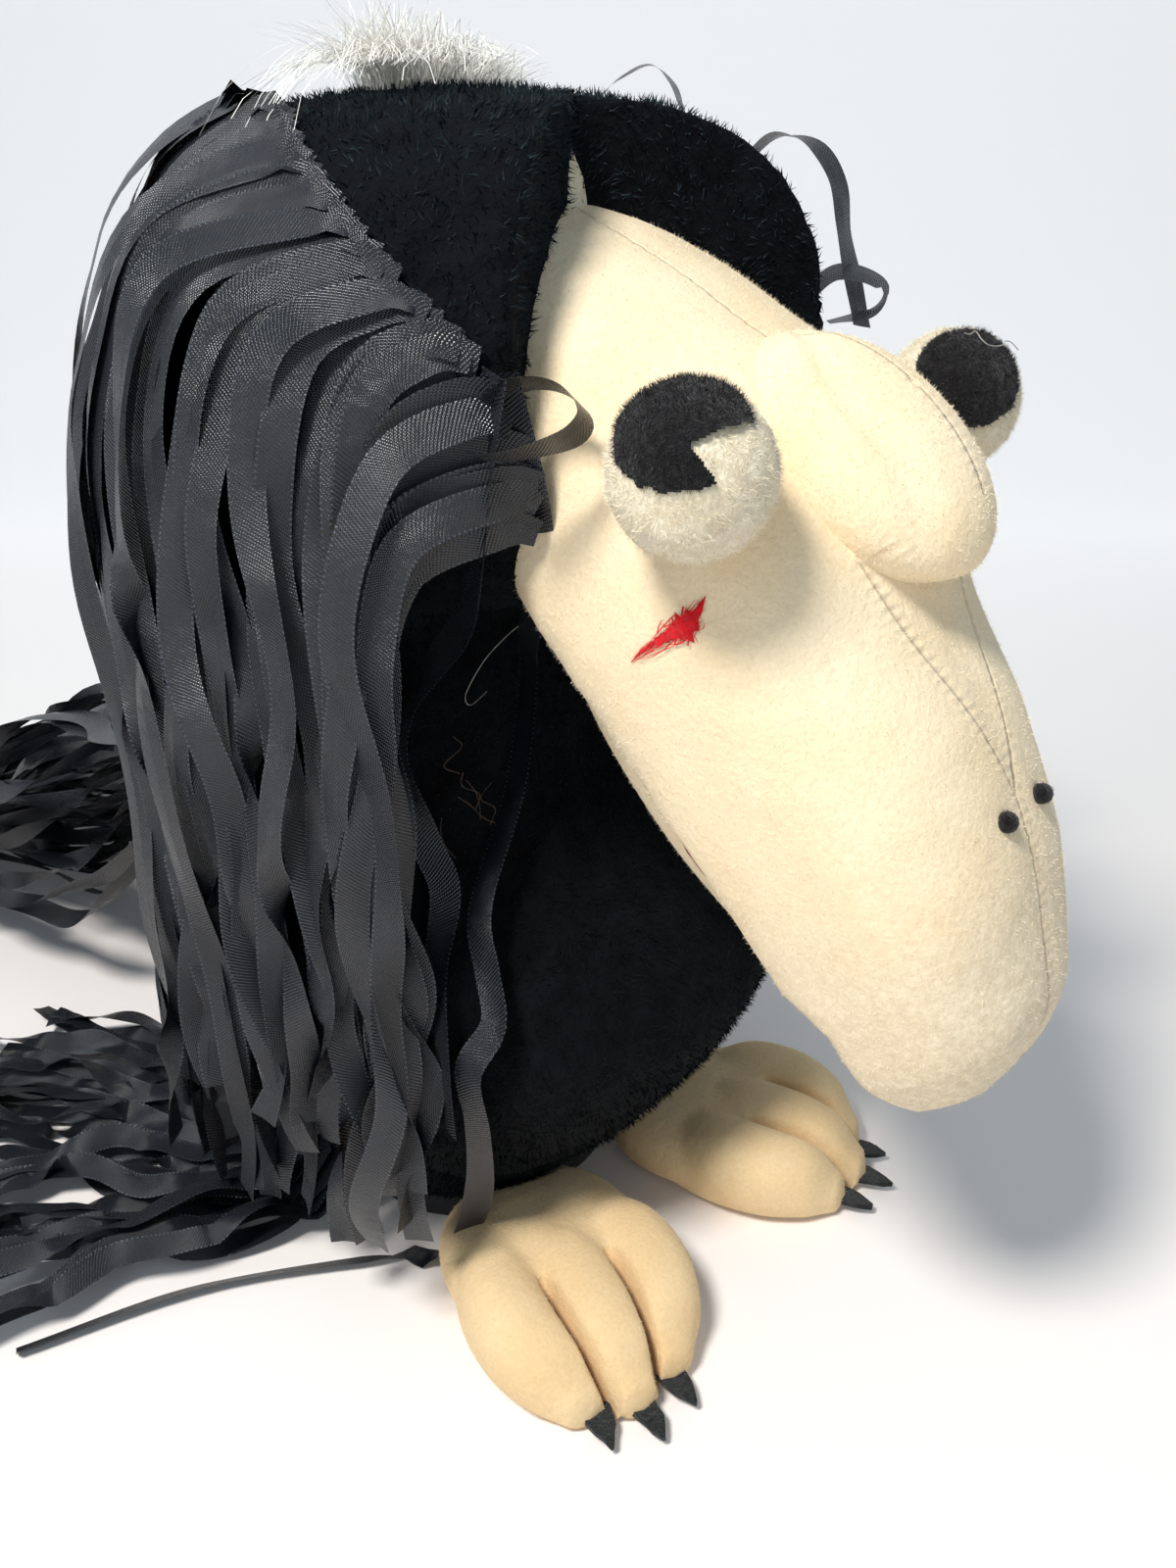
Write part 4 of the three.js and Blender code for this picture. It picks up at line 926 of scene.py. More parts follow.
def thread(name, points, width, material, body, slot):
    """A loose thread: a thin three-sided tube along a line."""
    count = 10 * len(points)
    path = smooth_path(points, count)
    rings = []
    for k, p in enumerate(path):
        along = path[min(k + 1, count - 1)] - path[max(k - 1, 0)]
        first = np.cross(along, [0.3, 0.2, 1])
        first /= max(np.linalg.norm(first), 1e-9)
        second = np.cross(along, first)
        second /= max(np.linalg.norm(second), 1e-9)
        rings.append([
            p + (first * math.cos(a) + second * math.sin(a)) * width / 2 for a in (0, 2.094, 4.189)
        ])
    verts, faces = loft(rings, start=path[0], end=path[-1])
    return finish_piece(new_object(name, place(verts), faces), material, body, slot)


# A thread caught on the far eye: shares of the eye's radius across and up, as seen by the camera
EYE_THREAD = [
    (-0.05, 0.6), (0.02, 0.58), (0.1, 0.63), (0.15, 0.5), (0.25, 0.42), (0.42, 0.45), (0.5, 0.54),
    (0.62, 0.57), (0.76, 0.53),
]
# Threads of lint on the belly: angle round the body in degrees, height, distance off the plush
BELLY_THREAD = [(-84, 233, 7), (-97, 243, 5), (-108, 237, 5), (-115, 226, 6), (-114, 221, 5), (-110, 224, 5)]
BROWN_PLACE = (-118, 186)


def make_lint():
    eye = EYE_CENTRES["left"]
    path = []
    for a, b in EYE_THREAD:
        p = RIGHT * a + UP * b
        path.append(eye + (p - FORWARD * math.sqrt(max(1 - a * a - b * b, 0))) * (EYE_RADIUS + 2.4))
    thread("eye_thread", path, 0.35, LINT, "head", "eye_wool")
    path = [body_point(h, math.radians(a), out) for a, h, out in BELLY_THREAD]
    thread("belly_thread", path, 0.3, LINT, "torso", "plush")
    random = np.random.default_rng(77)
    for k in range(6):
        angle = math.radians(BROWN_PLACE[0] + random.normal() * 3)
        height = BROWN_PLACE[1] + random.normal() * 8
        path = [
            body_point(height + 4 * j, angle + 0.03 * random.normal(), 3.5 + random.random())
            for j in range(4)
        ]
        thread(f"brown_lint_{k}", path, 0.35, BROWN_LINT, "torso", "plush")


TUFT_FIBRES = 2600
TUFT_REACH = 29
TUFT_HALF_LENGTH = 27
TUFT_HALF_WIDTH = 9
TUFT_STEPS = 7
FRINGE_REACH = 26
FRINGE_HALF_LENGTH = 20
FRINGE_DROP = 30
FRINGE_LIFT = 6.0


def crown_height(x, y):
    """A height just over the plush at a place on the crown."""
    z = HOOD_TOP + 2.0
    while z > HOOD_TOP - FRINGE_DROP and not inside((x, y, z), 1.5):
        z -= 1.0
    return z + FRINGE_LIFT


def make_tuft():
    """Pale shiny fibres: most stand up from the crown, and a short fringe lies over its front edge."""
    random = np.random.default_rng(9)
    verts, faces = [], []
    base = np.array([0, -4, HOOD_TOP - 2])
    steps = TUFT_STEPS
    for k in range(TUFT_FIBRES):
        along, across = random.uniform(-1, 1), random.normal() * 0.45
        offset = np.array([along * TUFT_HALF_LENGTH, across * TUFT_HALF_WIDTH, 0])
        if k % 4:
            lean = np.array([along * 0.55, across * 0.5, 0]) + [*random.normal(size=2) * 0.32, 0]
            height = 0.72 - 0.3 * (offset @ RIGHT) / TUFT_HALF_LENGTH
            reach = TUFT_REACH * height * random.uniform(0.55, 1.1)
            droop = 0.42 * min(1, np.linalg.norm(lean) * 1.4)
        else:
            offset = RIGHT * (along * FRINGE_HALF_LENGTH - 8) - unit(FORWARD) * random.uniform(10, 34)
            lean = -unit(FORWARD) * 0.9 + RIGHT * along * 0.4 + [*random.normal(size=2) * 0.4, 0]
            reach = FRINGE_REACH * random.uniform(0.5, 1.1)
            droop = 0
        root = base + offset
        curl = random.normal(size=3) * np.array([3.0, 3.0, 1.5]) * reach / TUFT_REACH
        start = len(verts)
        spin = random.uniform(0, 3)
        for step in range(steps + 1):
            t = step / steps
            p = root + lean * reach * t**1.4
            p[2] += reach * (t - droop * t**2)
            p = p + curl * math.sin(math.pi * 1.5 * t) * t
            if k % 4 == 0:
                p[2] = crown_height(p[0], p[1]) + 1.5 + 5 * math.sin(math.pi * t) * abs(across)
            side = np.array([math.cos(spin + t), math.sin(spin + t), 0]) * 0.1
            verts += [p - side, p + side]
        faces += blades(start, steps)
    obj = new_object("tuft_fibres", place(verts), faces, smooth=False)
    finish_piece(obj, TUFT, "head", "tuft_fibre", "crown_tuft")


# Ribbons
class Bundle:
    """Many ribbons in one mesh. A ribbon is three points wide, so that it can cup."""

    def __init__(self):
        self.verts, self.faces, self.uvs = [], [], []
        self.area = 0.0

    def add(self, path, across, twist, cup, width_share=1.0):
        path = np.asarray(path)
        across = np.broadcast_to(np.asarray(across, float), path.shape)
        width = np.full(len(path), float(RIBBON)) * width_share
        along = normal_rows(np.gradient(path, axis=0))
        wide = normal_rows(across - along * (across * along).sum(1)[:, None])
        thick = np.cross(along, wide)
        c, s = np.cos(twist)[:, None], np.sin(twist)[:, None]
        wide, thick = wide * c + thick * s, thick * c - wide * s
        run = np.concatenate([[0], np.cumsum(np.linalg.norm(np.diff(path, axis=0), axis=1))])
        start = len(self.verts)
        for k, p in enumerate(path):
            w = width[k] / 2
            for q in (p - wide[k] * w, p + thick[k] * cup[k], p + wide[k] * w):
                self.verts.append([q[0], q[1], max(q[2], TABLE_GAP)])
            self.uvs += [(run[k] * MM, -w * MM), (run[k] * MM, 0), (run[k] * MM, w * MM)]
            if k:
                a = start + 3 * (k - 1)
                self.faces += [(a, a + 1, a + 4, a + 3), (a + 1, a + 2, a + 5, a + 4)]
        steps = np.linalg.norm(np.diff(path, axis=0), axis=1)
        self.area += float((steps * (width[:-1] + width[1:]) / 2).sum()) * MM * MM

    def build(self, name, body, held, rests_on, *nodes):
        obj = new_object(name, place(self.verts), self.faces, uvs=self.uvs)
        finish_piece(obj, SATIN, body, "satin_ribbon", *nodes)


SEAM_CHEEK = np.array([75, -95, 328])
SEAM_CROWN = np.array([60, -10, 385])
SEAM_BACK = np.array([18, 50, 372])
SEAM_BEND = 2 / 3
SEAM_DEPTH = 12
WING_REACH = 114
WING_BACK_REACH = 102
WING_SHOULDER = 9
WING_FALL = 46
HANG_SHARES = np.array([
    [0, 0.91, -0.7, 0.2, 0.98],
    [0.17, 1.01, -0.3, 0.19, 0.96],
    [0.33, 1.02, 0.14, 0.2, 0.95],
    [0.5, 0.96, 0.5, 0.2, 0.98],
    [0.67, 0.79, 0.82, 0.2, 0.99],
    [0.76, 0.64, 0.97, 0.5, 0.99],
    [0.83, 0.5, 1.03, 0.93, 0.98],
    [1, 0.2, 1.1, 0.98, 0.98],
])
# How far each layer of ribbons stands off the middle one, and how many ribbons it has in a third of a wing
WING_LAYERS = ((-3, 11), (0, 10), (3, 9))
# The seam runs on down the edge of the cheek; the foremost ribbons start there and sweep back
SEAM_LOW = [(68, -104, 304), (65, -101, 286)]
SEAM_LOW_SHARE = 0.16


def off_line(direction, line):
    line = normal_of(line)
    direction = np.asarray(direction, float)
    return normal_of(direction - line * (direction @ line))


SIDE_OUT = off_line((1, 0, 0.4), SEAM_CROWN - SEAM_CHEEK)
BACK_OUT = normal_of(np.array([0.3, 0.6, 0.75]))


def seam_point(u, out):
    if u < 0:
        down = min(-u / SEAM_LOW_SHARE, 1) * 2
        stops = [seam_point(0, out)] + [np.array(p, float) for p in SEAM_LOW]
        k = min(int(down), 1)
        return stops[k] + (stops[k + 1] - stops[k]) * (down - k)
    side = min(u / SEAM_BEND, 1)
    back = max((u - SEAM_BEND) / (1 - SEAM_BEND), 0)
    p = SEAM_CHEEK + (SEAM_CROWN - SEAM_CHEEK) * side
    p = p + (SEAM_BACK - p) * back
    direction = normal_of(SIDE_OUT + (BACK_OUT - SIDE_OUT) * back)
    p = p - direction * SEAM_DEPTH
    near, far = 0.0, 90.0
    for _ in range(20):
        middle = (near + far) / 2
        if inside(p + direction * middle, out):
            near = middle
        else:
            far = middle
    return p + direction * near


def smooth_path(points, count):
    """Evenly spaced points on a rounded line through the given ones."""
    points = np.asarray(points, float)
    padded = np.vstack([2 * points[0] - points[1], points, 2 * points[-1] - points[-2]])
    fine = []
    for k in range(1, len(padded) - 2):
        a, b, c, d = padded[k - 1:k + 3]
        for t in np.linspace(0, 1, 12, endpoint=False):
            fine.append(
                0.5 * (
                    2 * b + (c - a) * t + (2 * a - 5 * b + 4 * c - d) * t**2 + (3 * b - a - 3 * c + d) * t**3
                )
            )
    fine.append(padded[-2])
    fine = np.array(fine)
    run = np.concatenate([[0], np.cumsum(np.linalg.norm(np.diff(fine, axis=0), axis=1))])
    wanted = np.linspace(0, run[-1], count)
    return np.stack([np.interp(wanted, run, fine[:, k]) for k in range(3)], axis=1)


def waves(count, amount, turns):
    """A slow random wave along a ribbon, nothing at its sewn end."""
    t = np.linspace(0, 1, count)
    value = np.zeros(count)
    for strength, rate in ((1.0, turns), (0.5, turns * 2.1), (0.1, turns * 3.7)):
        value += strength * np.sin(2 * math.pi * (rate * t * rng.uniform(0.8, 1.2) + rng.random()))
    return value * amount * np.minimum(1, t * 5)


def turn_over(count, chance):
    """Some ribbons turn over once somewhere along their length."""
    if rng.random() > chance:
        return np.zeros(count)
    at = rng.uniform(0.4, 0.9)
    return rng.choice([-1, 1]) * math.pi / (1 + np.exp((at - np.linspace(0, 1, count)) * 45))


def wing_ribbon(bundle, u, out, side, steps=60):
    seam = seam_point(u, 1.8 + 0.25 * (out + 3))
    _, across, back, end, tuck = spline(HANG_SHARES, max(u, 0))
    grow = out + rng.uniform(-7, 3)
    hang = np.array([across * (WING_REACH + grow), back * (WING_BACK_REACH + grow), 0])
    level = max(end * BODY_HEIGHT + rng.uniform(-38, 30) + (24 if u < 0.3 else 0), 7)
    outward = unit(hang - seam)
    fall = WING_FALL - out * 0.6 + rng.uniform(-8, 6)
    # Towards the back of the head the ribbons lie closer to it
    close = clamp((u - 0.3) / 0.25)
    hang *= 1 - 0.07 * close
    points = [seam, seam + outward * WING_SHOULDER * (1 - 0.4 * close) + [0, 0, 1.5 + out * 0.3]]
    for share, drop in ((0.72 - 0.24 * close, 0.22 + 0.1 * close), (0.96 - 0.19 * close, 1.0)):
        p = seam + (hang - seam) * share
        points.append(np.array([p[0], p[1], seam[2] - drop * fall + out * 0.4]))
    top = np.array([hang[0], hang[1], max(seam[2] - 2 * WING_FALL, level + 9)])
    low = np.array([hang[0] * tuck, hang[1] * tuck, level])
    points += [top, (top + low) / 2, low]
    path = smooth_path(points, steps)
    t = np.linspace(0, 1, steps)
    tangent = np.array([-hang[1], hang[0], 0]) / np.linalg.norm(hang)
    path += tangent * (waves(steps, 4.6, 1.2) * (0.2 + 1.5 * t))[:, None]
    path += unit(hang) * (waves(steps, 2.6, 1.7) * (0.3 + 1.1 * t))[:, None]
    path = np.array([p if k < 3 else push_out(p, 2.5) for k, p in enumerate(path)])
    # The front edge of each ribbon lies over the next one, as shingles do
    twist = rng.uniform(-0.2, 0.35) + waves(steps, 0.5, 1.3) * (0.25 + 1.3 * t) + turn_over(steps, 0.35)
    share = np.interp(t, [0, 0.06, 1], [0.8, 1, 1])
    mirror = [side, 1, 1]
    # At its sewn end a ribbon lies along the seam, and lower down it lies level
    ahead = min(u + 0.02, 1)
    seam_line = normal_of(seam_point(ahead, 2) - seam_point(ahead - 0.04, 2))
    level_share = np.clip(t / 0.4, 0, 1)[:, None]
    across_line = (seam_line * (1 - level_share) + tangent * level_share) * mirror
    bundle.add(path * mirror, across_line, twist * side, waves(steps, 0.8, 2.0) * side, share)


# Two long ribbons that hang before the belly on the right; the second runs on over the table
FRONT_STRANDS = (
    [
        (-75, -96, 328), (-64, -74, 268), (-61, -53, 236), (-73, -50, 212), (-71, -57, 185), (-72, -66, 170),
        (-83, -72, 150), (-90, -80, 130), (-90, -82, 96),
    ],
    [
        (-75, -98, 328), (-50, -80, 284), (-30, -64, 240), (-28, -62, 226), (-42, -68, 194), (-67, -76, 166),
        (-74, -85, 150), (-79, -92, 136), (-87, -88, 121), (-84, -88, 97), (-74, -77, 58), (-67, -60, 20),
        (-69, -45, 2), (-86, -27, 1), (-136, 10, 2), (-192, 34, 1),
    ],
)
# Loops of ribbon at the seams: where each starts, and its points across, up and towards the camera from there
BOW_START = (-72, -104, 324)
BOW = [
    (-12, -16, 0), (-6, -17, 3), (2, -16, 5), (11, -13, 6), (14.5, -8, 5), (11, -2.5, 4), (5, 0.5, 3),
    (-3, 0.5, 1), (-9, -3, -2),
]
CROWN_LOOP_START = (60, -14, 386)
CROWN_LOOP = [(-2, -3, 0), (1, 5, 0), (9, 12, 1), (19, 16, 2), (26, 11, 1), (29, 4, 0), (31, -5, 0)]
SHOULDER_LOOP_START = (78, -58, 362)
SHOULDER_LOOP = [
    (0, -4, 0), (4, 10, 0), (14, 20, 0), (27, 18, 0), (35, 6, 0), (37, -10, 0), (40, -26, 0), (43, -42, 0),
]
CHEEK_LOOP_START = (84, -92, 334)
CHEEK_LOOP = [(-6, 0, 0), (4, 7, 0), (14, 6, 0), (20, 1, 0), (15, -6, 0), (2, -9, 0)]


def stray(bundle, path, across, steps=90, twist=0.0, sway=0.35):
    path = smooth_path(path, steps)
    bundle.add(path, across, twist + waves(steps, sway, 1.2), waves(steps, 0.4, 2.0))


def loop_points(start, offsets):
    return [np.array(start) + RIGHT * a + UP * b - FORWARD * c for a, b, c in offsets]


def add_strays(bundle, name):
    if name == "right":
        for points, twist in zip(FRONT_STRANDS, (1.05, 0.45)):
            points = [push_out(p, 3.0) if p[2] > HEM_HEIGHT else p for p in points]
            stray(bundle, points, (0.6, -0.55, 0.1), 130, twist, 0.6)
        stray(bundle, loop_points(BOW_START, BOW), FORWARD * 0.8 + RIGHT * 0.3, 50, 0.0, 0.1)
    else:
        stray(bundle, loop_points(CROWN_LOOP_START, CROWN_LOOP), FORWARD + UP * 0.3, 50, 0.2, 0.1)
        stray(bundle, loop_points(SHOULDER_LOOP_START, SHOULDER_LOOP), FORWARD + RIGHT * 0.7, 60, 0.3, 0.15)
        stray(bundle, loop_points(CHEEK_LOOP_START, CHEEK_LOOP), FORWARD + UP * 0.8, 50, 0.2, 0.1)


def make_wings():
    for name, side in SIDES:
        for group, low, high, body in (
            ("front", -SEAM_LOW_SHARE, 1 / 3, f"wing_{name}"),
            ("side", 1 / 3, 2 / 3, f"wing_{name}"),
            ("rear", 2 / 3, 1.0, "head"),
        ):
            bundle = Bundle()
            for out, count in WING_LAYERS:
                for k in range(count):
                    u = low + (high - low) * (k + rng.uniform(0.1, 0.9)) / count
                    wing_ribbon(bundle, u, out, side)
            if group == "front":
                add_strays(bundle, name)
            bundle.build(
                f"wing_{name}_{group}_ribbons", body, "hung", ["plush_skin"], f"wing_{group}_{name}"
            )


TRAIN_HEIGHT = 178
TRAIN_LENGTH = 467.57
TRAIN_SPREAD = 96
TRAIN_TAPE_HALF_WIDTH = 56
TRAIN_ROUNDING = 0.08
# How far each layer of the train stands off its middle, and how many ribbons it has in a third
TRAIN_LIFTS = (-46, -30, -14, 0, 16, 32, 44)
TRAIN_LAYER = 4
TRAIN_SHARES = (
    (0, 1), (0.03, 0.97), (0.16, 0.8), (0.36, 0.6), (0.58, 0.42), (0.8, 0.27), (0.93, 0.1), (1, 0),
)


def train_ribbon(bundle, share, lift, steps=64):
    height = TRAIN_HEIGHT + rng.uniform(-3, 3)
    start = body_point(height, math.acos(share * TRAIN_TAPE_HALF_WIDTH / BODY_HALF_WIDTH), 2.2)
    reach = (TRAIN_LENGTH - start[1]) * (1 - TRAIN_ROUNDING * share**2) * rng.uniform(0.86, 1)
    points = []
    for along, height in TRAIN_SHARES:
        loose = math.sin(math.pi * min(along * 1.2, 1))
        x = start[0] + (share * TRAIN_SPREAD - start[0]) * along + rng.normal() * 9 * loose
        z = 1 + (start[2] - 1) * height + (lift + rng.normal() * 5) * loose
        points.append([x, start[1] + reach * along, max(z, 1.2)])
    points[0] = start
    path = smooth_path(points, steps)
    path[:, 0] += waves(steps, 5.0, 1.5)
    path[:, 2] += waves(steps, 4.0, 1.6)
    path[:, 2] = np.maximum(path[:, 2], 1.0)
    path = np.array([p if k < 2 else push_out(p, 2.5) for k, p in enumerate(path)])
    t = np.linspace(0, 1, steps)
    twist = waves(steps, 0.7, 1.4) * (0.4 + t) + turn_over(steps, 0.4)
    bundle.add(path, (1, 0, 0), twist, waves(steps, 0.7, 1.5))


def make_train():
    for name, low, high in (("right", -1, -1 / 3), ("middle", -1 / 3, 1 / 3), ("left", 1 / 3, 1)):
        bundle = Bundle()
        for lift in TRAIN_LIFTS:
            for k in range(TRAIN_LAYER):
                share = low + (high - low) * (k + rng.uniform(0.1, 0.9)) / TRAIN_LAYER
                train_ribbon(bundle, share, lift)
        bundle.build(f"train_{name}_ribbons", "tail", "hung", ["plush_skin"], f"train_{name}")


SIDE_RUN = 185
SIDE_SEAM_HEIGHT = 30
SIDE_SEAM = (-0.05, 0.6)
SIDE_HEADING = (24, 80)
SIDE_KNEE = 26
SIDE_BEND = 10
SIDE_LIFTS = (0, 5, 10, 16)
SIDE_LAYER = 8


def floor_ribbon(bundle, share, side, lift, steps=60):
    angle = SIDE_SEAM[0] + (SIDE_SEAM[1] - SIDE_SEAM[0]) * share
    start = body_point(SIDE_SEAM_HEIGHT + rng.uniform(-4, 4), angle, 2.4)
    bearing = math.radians(SIDE_HEADING[0] + (SIDE_HEADING[1] - SIDE_HEADING[0]) * share + rng.normal() * 5)
    heading = np.array([math.cos(bearing), math.sin(bearing), 0])
    beside = np.array([-heading[1], heading[0], 0])
    knee = start + heading * SIDE_KNEE
    end = start + heading * SIDE_RUN * rng.uniform(0.82, 1)
    points = [start, start + (knee - start) * 0.55 - [0, 0, start[2] * 0.58]]
    for along, bend in ((0, 0), (0.3, 0.6), (0.6, 0.8), (1, 0)):
        p = knee + (end - knee) * along + beside * (bend * SIDE_BEND + rng.normal() * 6 * min(1, along * 3))
        points.append([p[0], p[1], 1 + lift * (1 - 0.6 * along)])
    path = smooth_path(points, steps)
    path += beside * waves(steps, 4.2, 1.4)[:, None]
    path[:, 2] += np.abs(waves(steps, 3.0, 1.6))
    path[:, 2] = np.maximum(path[:, 2], 0.9)
    t = np.linspace(0, 1, steps)
    twist = waves(steps, 0.5, 1.5) * np.minimum(1, t * 2) + turn_over(steps, 0.4)
    mirror = [side, 1, 1]
    bundle.add(path * mirror, beside * mirror, twist * side, waves(steps, 0.6, 2.5) * side)


def make_side_ribbons():
    for name, side in SIDES:
        bundle = Bundle()
        for lift in SIDE_LIFTS:
            for k in range(SIDE_LAYER):
                floor_ribbon(bundle, (k + rng.random()) / SIDE_LAYER, side, lift)
        bundle.build(f"side_{name}_ribbons", "torso", "laid", ["plush_skin"], f"side_ribbons_{name}")


# Feet
TOE_SHARES = np.array([
    [0.1, 0.1, 0.5, 0.36],
    [0.25, 0.55, 0.85, 0.66],
    [0.48, 0.94, 1, 1],
    [0.7, 1, 1, 0.98],
    [0.86, 0.84, 0.86, 0.8],
    [0.96, 0.66, 0.5, 0.42],
])
FOOT_LENGTH = 112
FOOT_HEIGHT = 34
TOE_RADIUS = 15
TOE_SPLAY = 26
TOE_OUT = 20
PALM = {"centre": (0, -46, 16), "half": (38, 42, 16)}
SLIT_START = 0.56
SLIT_DEPTH = 16
SLIT_HALF_WIDTH = 1.5


def slit_depth(local):
    """How deep the seam between two toes draws the top in: nothing over the palm, deep between the toes."""
    share = -local[1] / FOOT_LENGTH
    _, spread, _, _ = spline(TOE_SHARES, clamp(share, TOE_SHARES[0][0], TOE_SHARES[-1][0]))
    distance = abs(abs(local[0]) - TOE_SPLAY * spread / 2)
    start = clamp((share - SLIT_START) / 0.06)
    return start * math.exp(-((distance / SLIT_HALF_WIDTH) ** 2)) * min(1, max(local[2] - 3, 0) / 10)


def make_foot(side, sign):
    pivot = unplace(JOINTS[f"foot_{side}_splay"]["pos_m"])
    turn = np.array(Matrix.Rotation(math.radians(TOE_OUT * sign), 3, "Z"))
    verts, faces = round_mesh(20, 36, 2.4)
    verts = [p * np.array(PALM["half"]) + np.array(PALM["centre"]) for p in verts]
    for lane in (-1, 0, 1):
        length = FOOT_LENGTH * (1 if lane == 0 else 0.95)
        rings = []
        for row in range(31):
            share = 0.1 + 0.86 * row / 30
            _, spread, width, height = spline(TOE_SHARES, share)
            ring = []
            for bearing in around(32):
                x, rise = round_point(bearing, width * TOE_RADIUS, 1, 1, 2.3, 2.3)
                z = (rise + 1) / 2 * height * FOOT_HEIGHT
                ring.append(np.array([lane * TOE_SPLAY * spread + x, -share * length, z]))
            rings.append(ring)
        tip = np.array([lane * TOE_SPLAY * 0.62, -0.985 * length, 5])
        v, f = loft(rings, start=np.mean(rings[0], axis=0), end=tip)
        faces += [[k + len(verts) for k in face] for face in f]
        verts += v
    verts = [turn @ p + pivot for p in verts]
    obj = new_object(f"foot_{side}_fleece", place(verts), faces)
    remesh = obj.modifiers.new("join", "REMESH")
    remesh.mode = "VOXEL"
    remesh.voxel_size = 1.4 * MM
    smooth = obj.modifiers.new("soften", "SMOOTH")
    smooth.factor = 0.5
    smooth.iterations = 8
    apply_modifiers(obj)
    # Each point keeps its slit share, which sets the painted shade in the slits
    slit_shade = obj.data.attributes.new("slit_shade", "FLOAT", "POINT")
    for vertex in obj.data.vertices:
        q = unplace(vertex.co)
        slit = slit_depth(turn.T @ (q - pivot))
        slit_shade.data[vertex.index].value = slit
        q[2] = max(q[2] - SLIT_DEPTH * slit, TABLE_GAP)
        if q[1] > -100:
            q = clear_of_body(q, 3.0)
        vertex.co = Vector(place(q))
    finish_piece(obj, FOOT_FLEECE, f"foot_{side}", "foot_fleece", f"foot_{side}")
    add_fuzz(obj, f"foot_{side}_fuzz", (9000, 1.1, 0.15, 0.5, 51), FOOT_FUZZ, f"foot_{side}", "foot_fleece")


def clear_of_body(q, out):
    if q[2] > HEM_HEIGHT and inside(q, out):
        for _ in range(40):
            q = q - np.array([0, 0, 0.8])
            if not inside(q, out) or q[2] < HEM_HEIGHT:
                break
    return q


def apply_modifiers(obj):
    graph = bpy.context.evaluated_depsgraph_get()
    mesh = bpy.data.meshes.new_from_object(obj.evaluated_get(graph))
    obj.modifiers.clear()
    obj.data = mesh
    mesh.polygons.foreach_set("use_smooth", [True] * len(mesh.polygons))


ANKLE_SPREAD = 35
ANKLE_FORWARD = 45
# A claw's outline: distance from its middle towards the point, and half-width there
CLAW_OUTLINE = [(-7, 4.6), (-2, 4.4), (2, 3.4), (5, 2.2), (8.5, 0.4)]
CLAW_HALF_THICKNESS = 0.9


def make_claws():
    random = np.random.default_rng(15)
    for side, sign in SIDES:
        for lane in ("inner", "middle", "outer"):
            low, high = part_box(f"claw_{lane}_{side}")
            centre = (unplace(low) + unplace(high)) / 2
            ankle = np.array([sign * ANKLE_SPREAD, -ANKLE_FORWARD, centre[2]])
            heading = unit(centre - ankle)
            sideways = np.array([-heading[1], heading[0], 0])
            verts, faces = [], []
            for level in (CLAW_HALF_THICKNESS, -CLAW_HALF_THICKNESS):
                for reach, half in CLAW_OUTLINE:
                    for part in (-1, 1):
                        ragged = random.normal() * 0.35
                        p = centre + heading * reach + sideways * part * (half + ragged)
                        verts.append(p + [0, 0, level - 0.12 * max(reach, 0)])
            rows = len(CLAW_OUTLINE)
            for k in range(rows - 1):
                a = 2 * k
                b = 2 * rows + a
                faces += [
                    (a, a + 1, a + 3, a + 2), (b + 1, b, b + 2, b + 3),
                    (a, a + 2, b + 2, b), (a + 3, a + 1, b + 1, b + 3),
                ]
            faces.append((1, 0, 2 * rows, 2 * rows + 1))
            last = 2 * rows - 2
            faces.append((last, last + 1, last + 2 * rows + 1, last + 2 * rows))
            name = f"claw_felt_{lane}_{side}"
            obj = new_object(name, place(verts), faces, smooth=False)
            finish_piece(obj, CLAW_FELT, f"foot_{side}", "black_wool", f"claw_{lane}_{side}")
            add_fuzz(obj, f"{name}_fray", (130, 3.0, 0.22, 1.0, 61), CLAW_FELT, f"foot_{side}", "black_wool")


# Camera, light and backdrop
def make_camera():
    data = bpy.data.cameras.new("camera")
    data.sensor_fit = "VERTICAL"
    data.sensor_height = 36
    data.lens = FOCAL_PIXELS * data.sensor_height / IMAGE_HEIGHT
    data.clip_start = 0.01
    camera = bpy.data.objects.new("camera", data)
    bpy.context.collection.objects.link(camera)
    camera.location = Vector(place(CAMERA_PLACE))
    camera.rotation_euler = Vector(FORWARD).to_track_quat("-Z", "Y").to_euler()
    bpy.context.scene.camera = camera


def area_light(name, at, target, size, power, color):
    data = bpy.data.lights.new(name, "AREA")
    data.shape = "DISK"
    data.size = size
    data.energy = power
    data.color = color
    light = bpy.data.objects.new(name, data)
    light.location = Vector(place(at))
    light.rotation_euler = (Vector(place(target)) - light.location).to_track_quat("-Z", "Y").to_euler()
    bpy.context.collection.objects.link(light)


# Lights: name, place, what they point at, diameter in metres, watts, colour
LIGHTS = (
    ("key", (-770, -130, 1250), (0, -150, 60), 0.32, 20.0, (1.0, 0.975, 0.94)),
    ("fill", (-700, -1100, 500), (0, -60, 200), 1.2, 2.5, (0.94, 0.97, 1.0)),
)
WORLD_COLOR = (0.66, 0.83, 1.0, 1)
WORLD_STRENGTH = 0.37
# How strongly the far floor and the backdrop glow: painted light
BACKDROP_GLOW = 0.46
# The paper floor in metres: how far it lies behind the camera's side and before the bend, the bend's
# radius, the top and the half-width
FLOOR_FROM = -1.6
FLOOR_TO = 1.0
FLOOR_BEND = 0.9
FLOOR_BEND_STEPS = 12
FLOOR_TOP = 3.0
FLOOR_HALF_WIDTH = 3.0
FLOOR_DROP = 0.0004


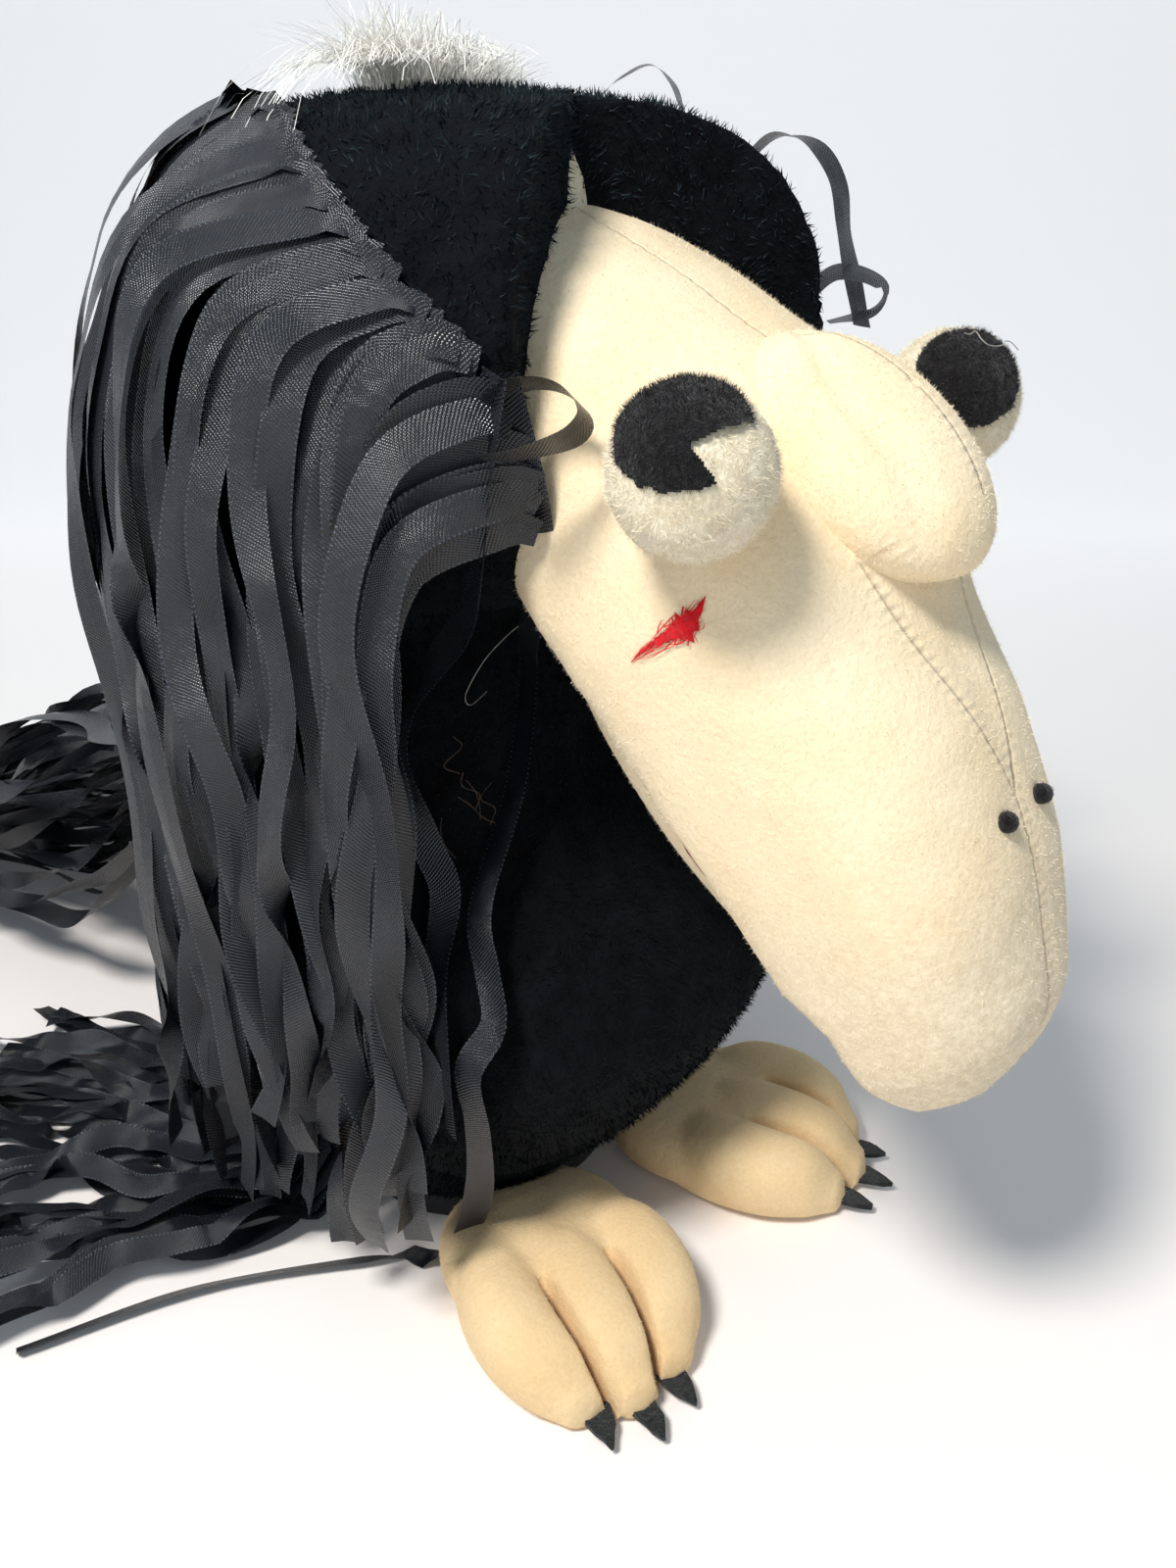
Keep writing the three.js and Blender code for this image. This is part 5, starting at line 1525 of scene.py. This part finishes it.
def make_studio():
    for light in LIGHTS:
        area_light(*light)
    world = bpy.data.worlds.new("world")
    bpy.context.scene.world = world
    world.use_nodes = True
    nodes, links = world.node_tree.nodes, world.node_tree.links
    lighting = nodes["Background"]
    lighting.inputs["Color"].default_value = WORLD_COLOR
    lighting.inputs["Strength"].default_value = WORLD_STRENGTH
    shown = nodes.new("ShaderNodeBackground")
    shown.inputs["Color"].default_value = srgb(222, 228, 233)
    path = nodes.new("ShaderNodeLightPath")
    mix = nodes.new("ShaderNodeMixShader")
    links.new(path.outputs["Is Camera Ray"], mix.inputs[0])
    links.new(lighting.outputs[0], mix.inputs[1])
    links.new(shown.outputs[0], mix.inputs[2])
    links.new(mix.outputs[0], nodes["World Output"].inputs["Surface"])
    # Floor that curves up into a backdrop behind the puppet
    profile = [(FLOOR_FROM, 0.0), (FLOOR_TO, 0.0)]
    for k in range(1, FLOOR_BEND_STEPS + 1):
        a = math.radians(90 / FLOOR_BEND_STEPS * k)
        profile.append((FLOOR_TO + FLOOR_BEND * math.sin(a), FLOOR_BEND - FLOOR_BEND * math.cos(a)))
    profile.append((FLOOR_TO + FLOOR_BEND, FLOOR_TOP))
    heading = np.array([-math.sin(CAMERA_AZIMUTH), math.cos(CAMERA_AZIMUTH), 0])
    sideways = np.array([heading[1], -heading[0], 0])
    verts = []
    for reach, height in profile:
        for side in (-FLOOR_HALF_WIDTH, FLOOR_HALF_WIDTH):
            verts.append(heading * reach + sideways * side + [0, AXIS_Y, height - FLOOR_DROP])
    floor = new_object("studio_floor", verts, blades(0, len(profile) - 1))
    m = Shader("studio_paper", srgb(240, 239, 238), 0.9, specular=0.1)
    x, y, z = m.split(m.position)
    depth = m.plus(m.times(x, float(heading[0])), m.times(y, float(heading[1])))
    # Painted shade: the paper is painted greyer further from the camera, where less light reaches it
    far_shade = m.between(depth, 0.1, 1.1)
    m.color(m.mix(far_shade, srgb(248, 242, 238), srgb(228, 226, 222)))
    # Painted light: the far floor and the backdrop glow, so that they look as bright as lit paper
    m.shader.inputs["Emission Color"].default_value = srgb(238, 238, 240)
    glow = m.times(m.between(depth, 0.1, 0.9), BACKDROP_GLOW)
    m.links.new(glow, m.shader.inputs["Emission Strength"])
    floor.data.materials.append(m.material)


def main():
    make_camera()
    make_studio()
    dress_nodes()
    make_skin()
    cheek = make_upper_beak()
    make_lower_beak()
    make_brow()
    for side, _ in SIDES:
        make_eye(side)
    make_wisp(cheek)
    make_nostrils()
    make_lint()
    make_tuft()
    make_wings()
    make_train()
    make_side_ribbons()
    for side, sign in SIDES:
        make_foot(side, sign)
    make_claws()
    bpy.context.scene.view_settings.view_transform = "Standard"
    bpy.context.view_layer.update()


main()
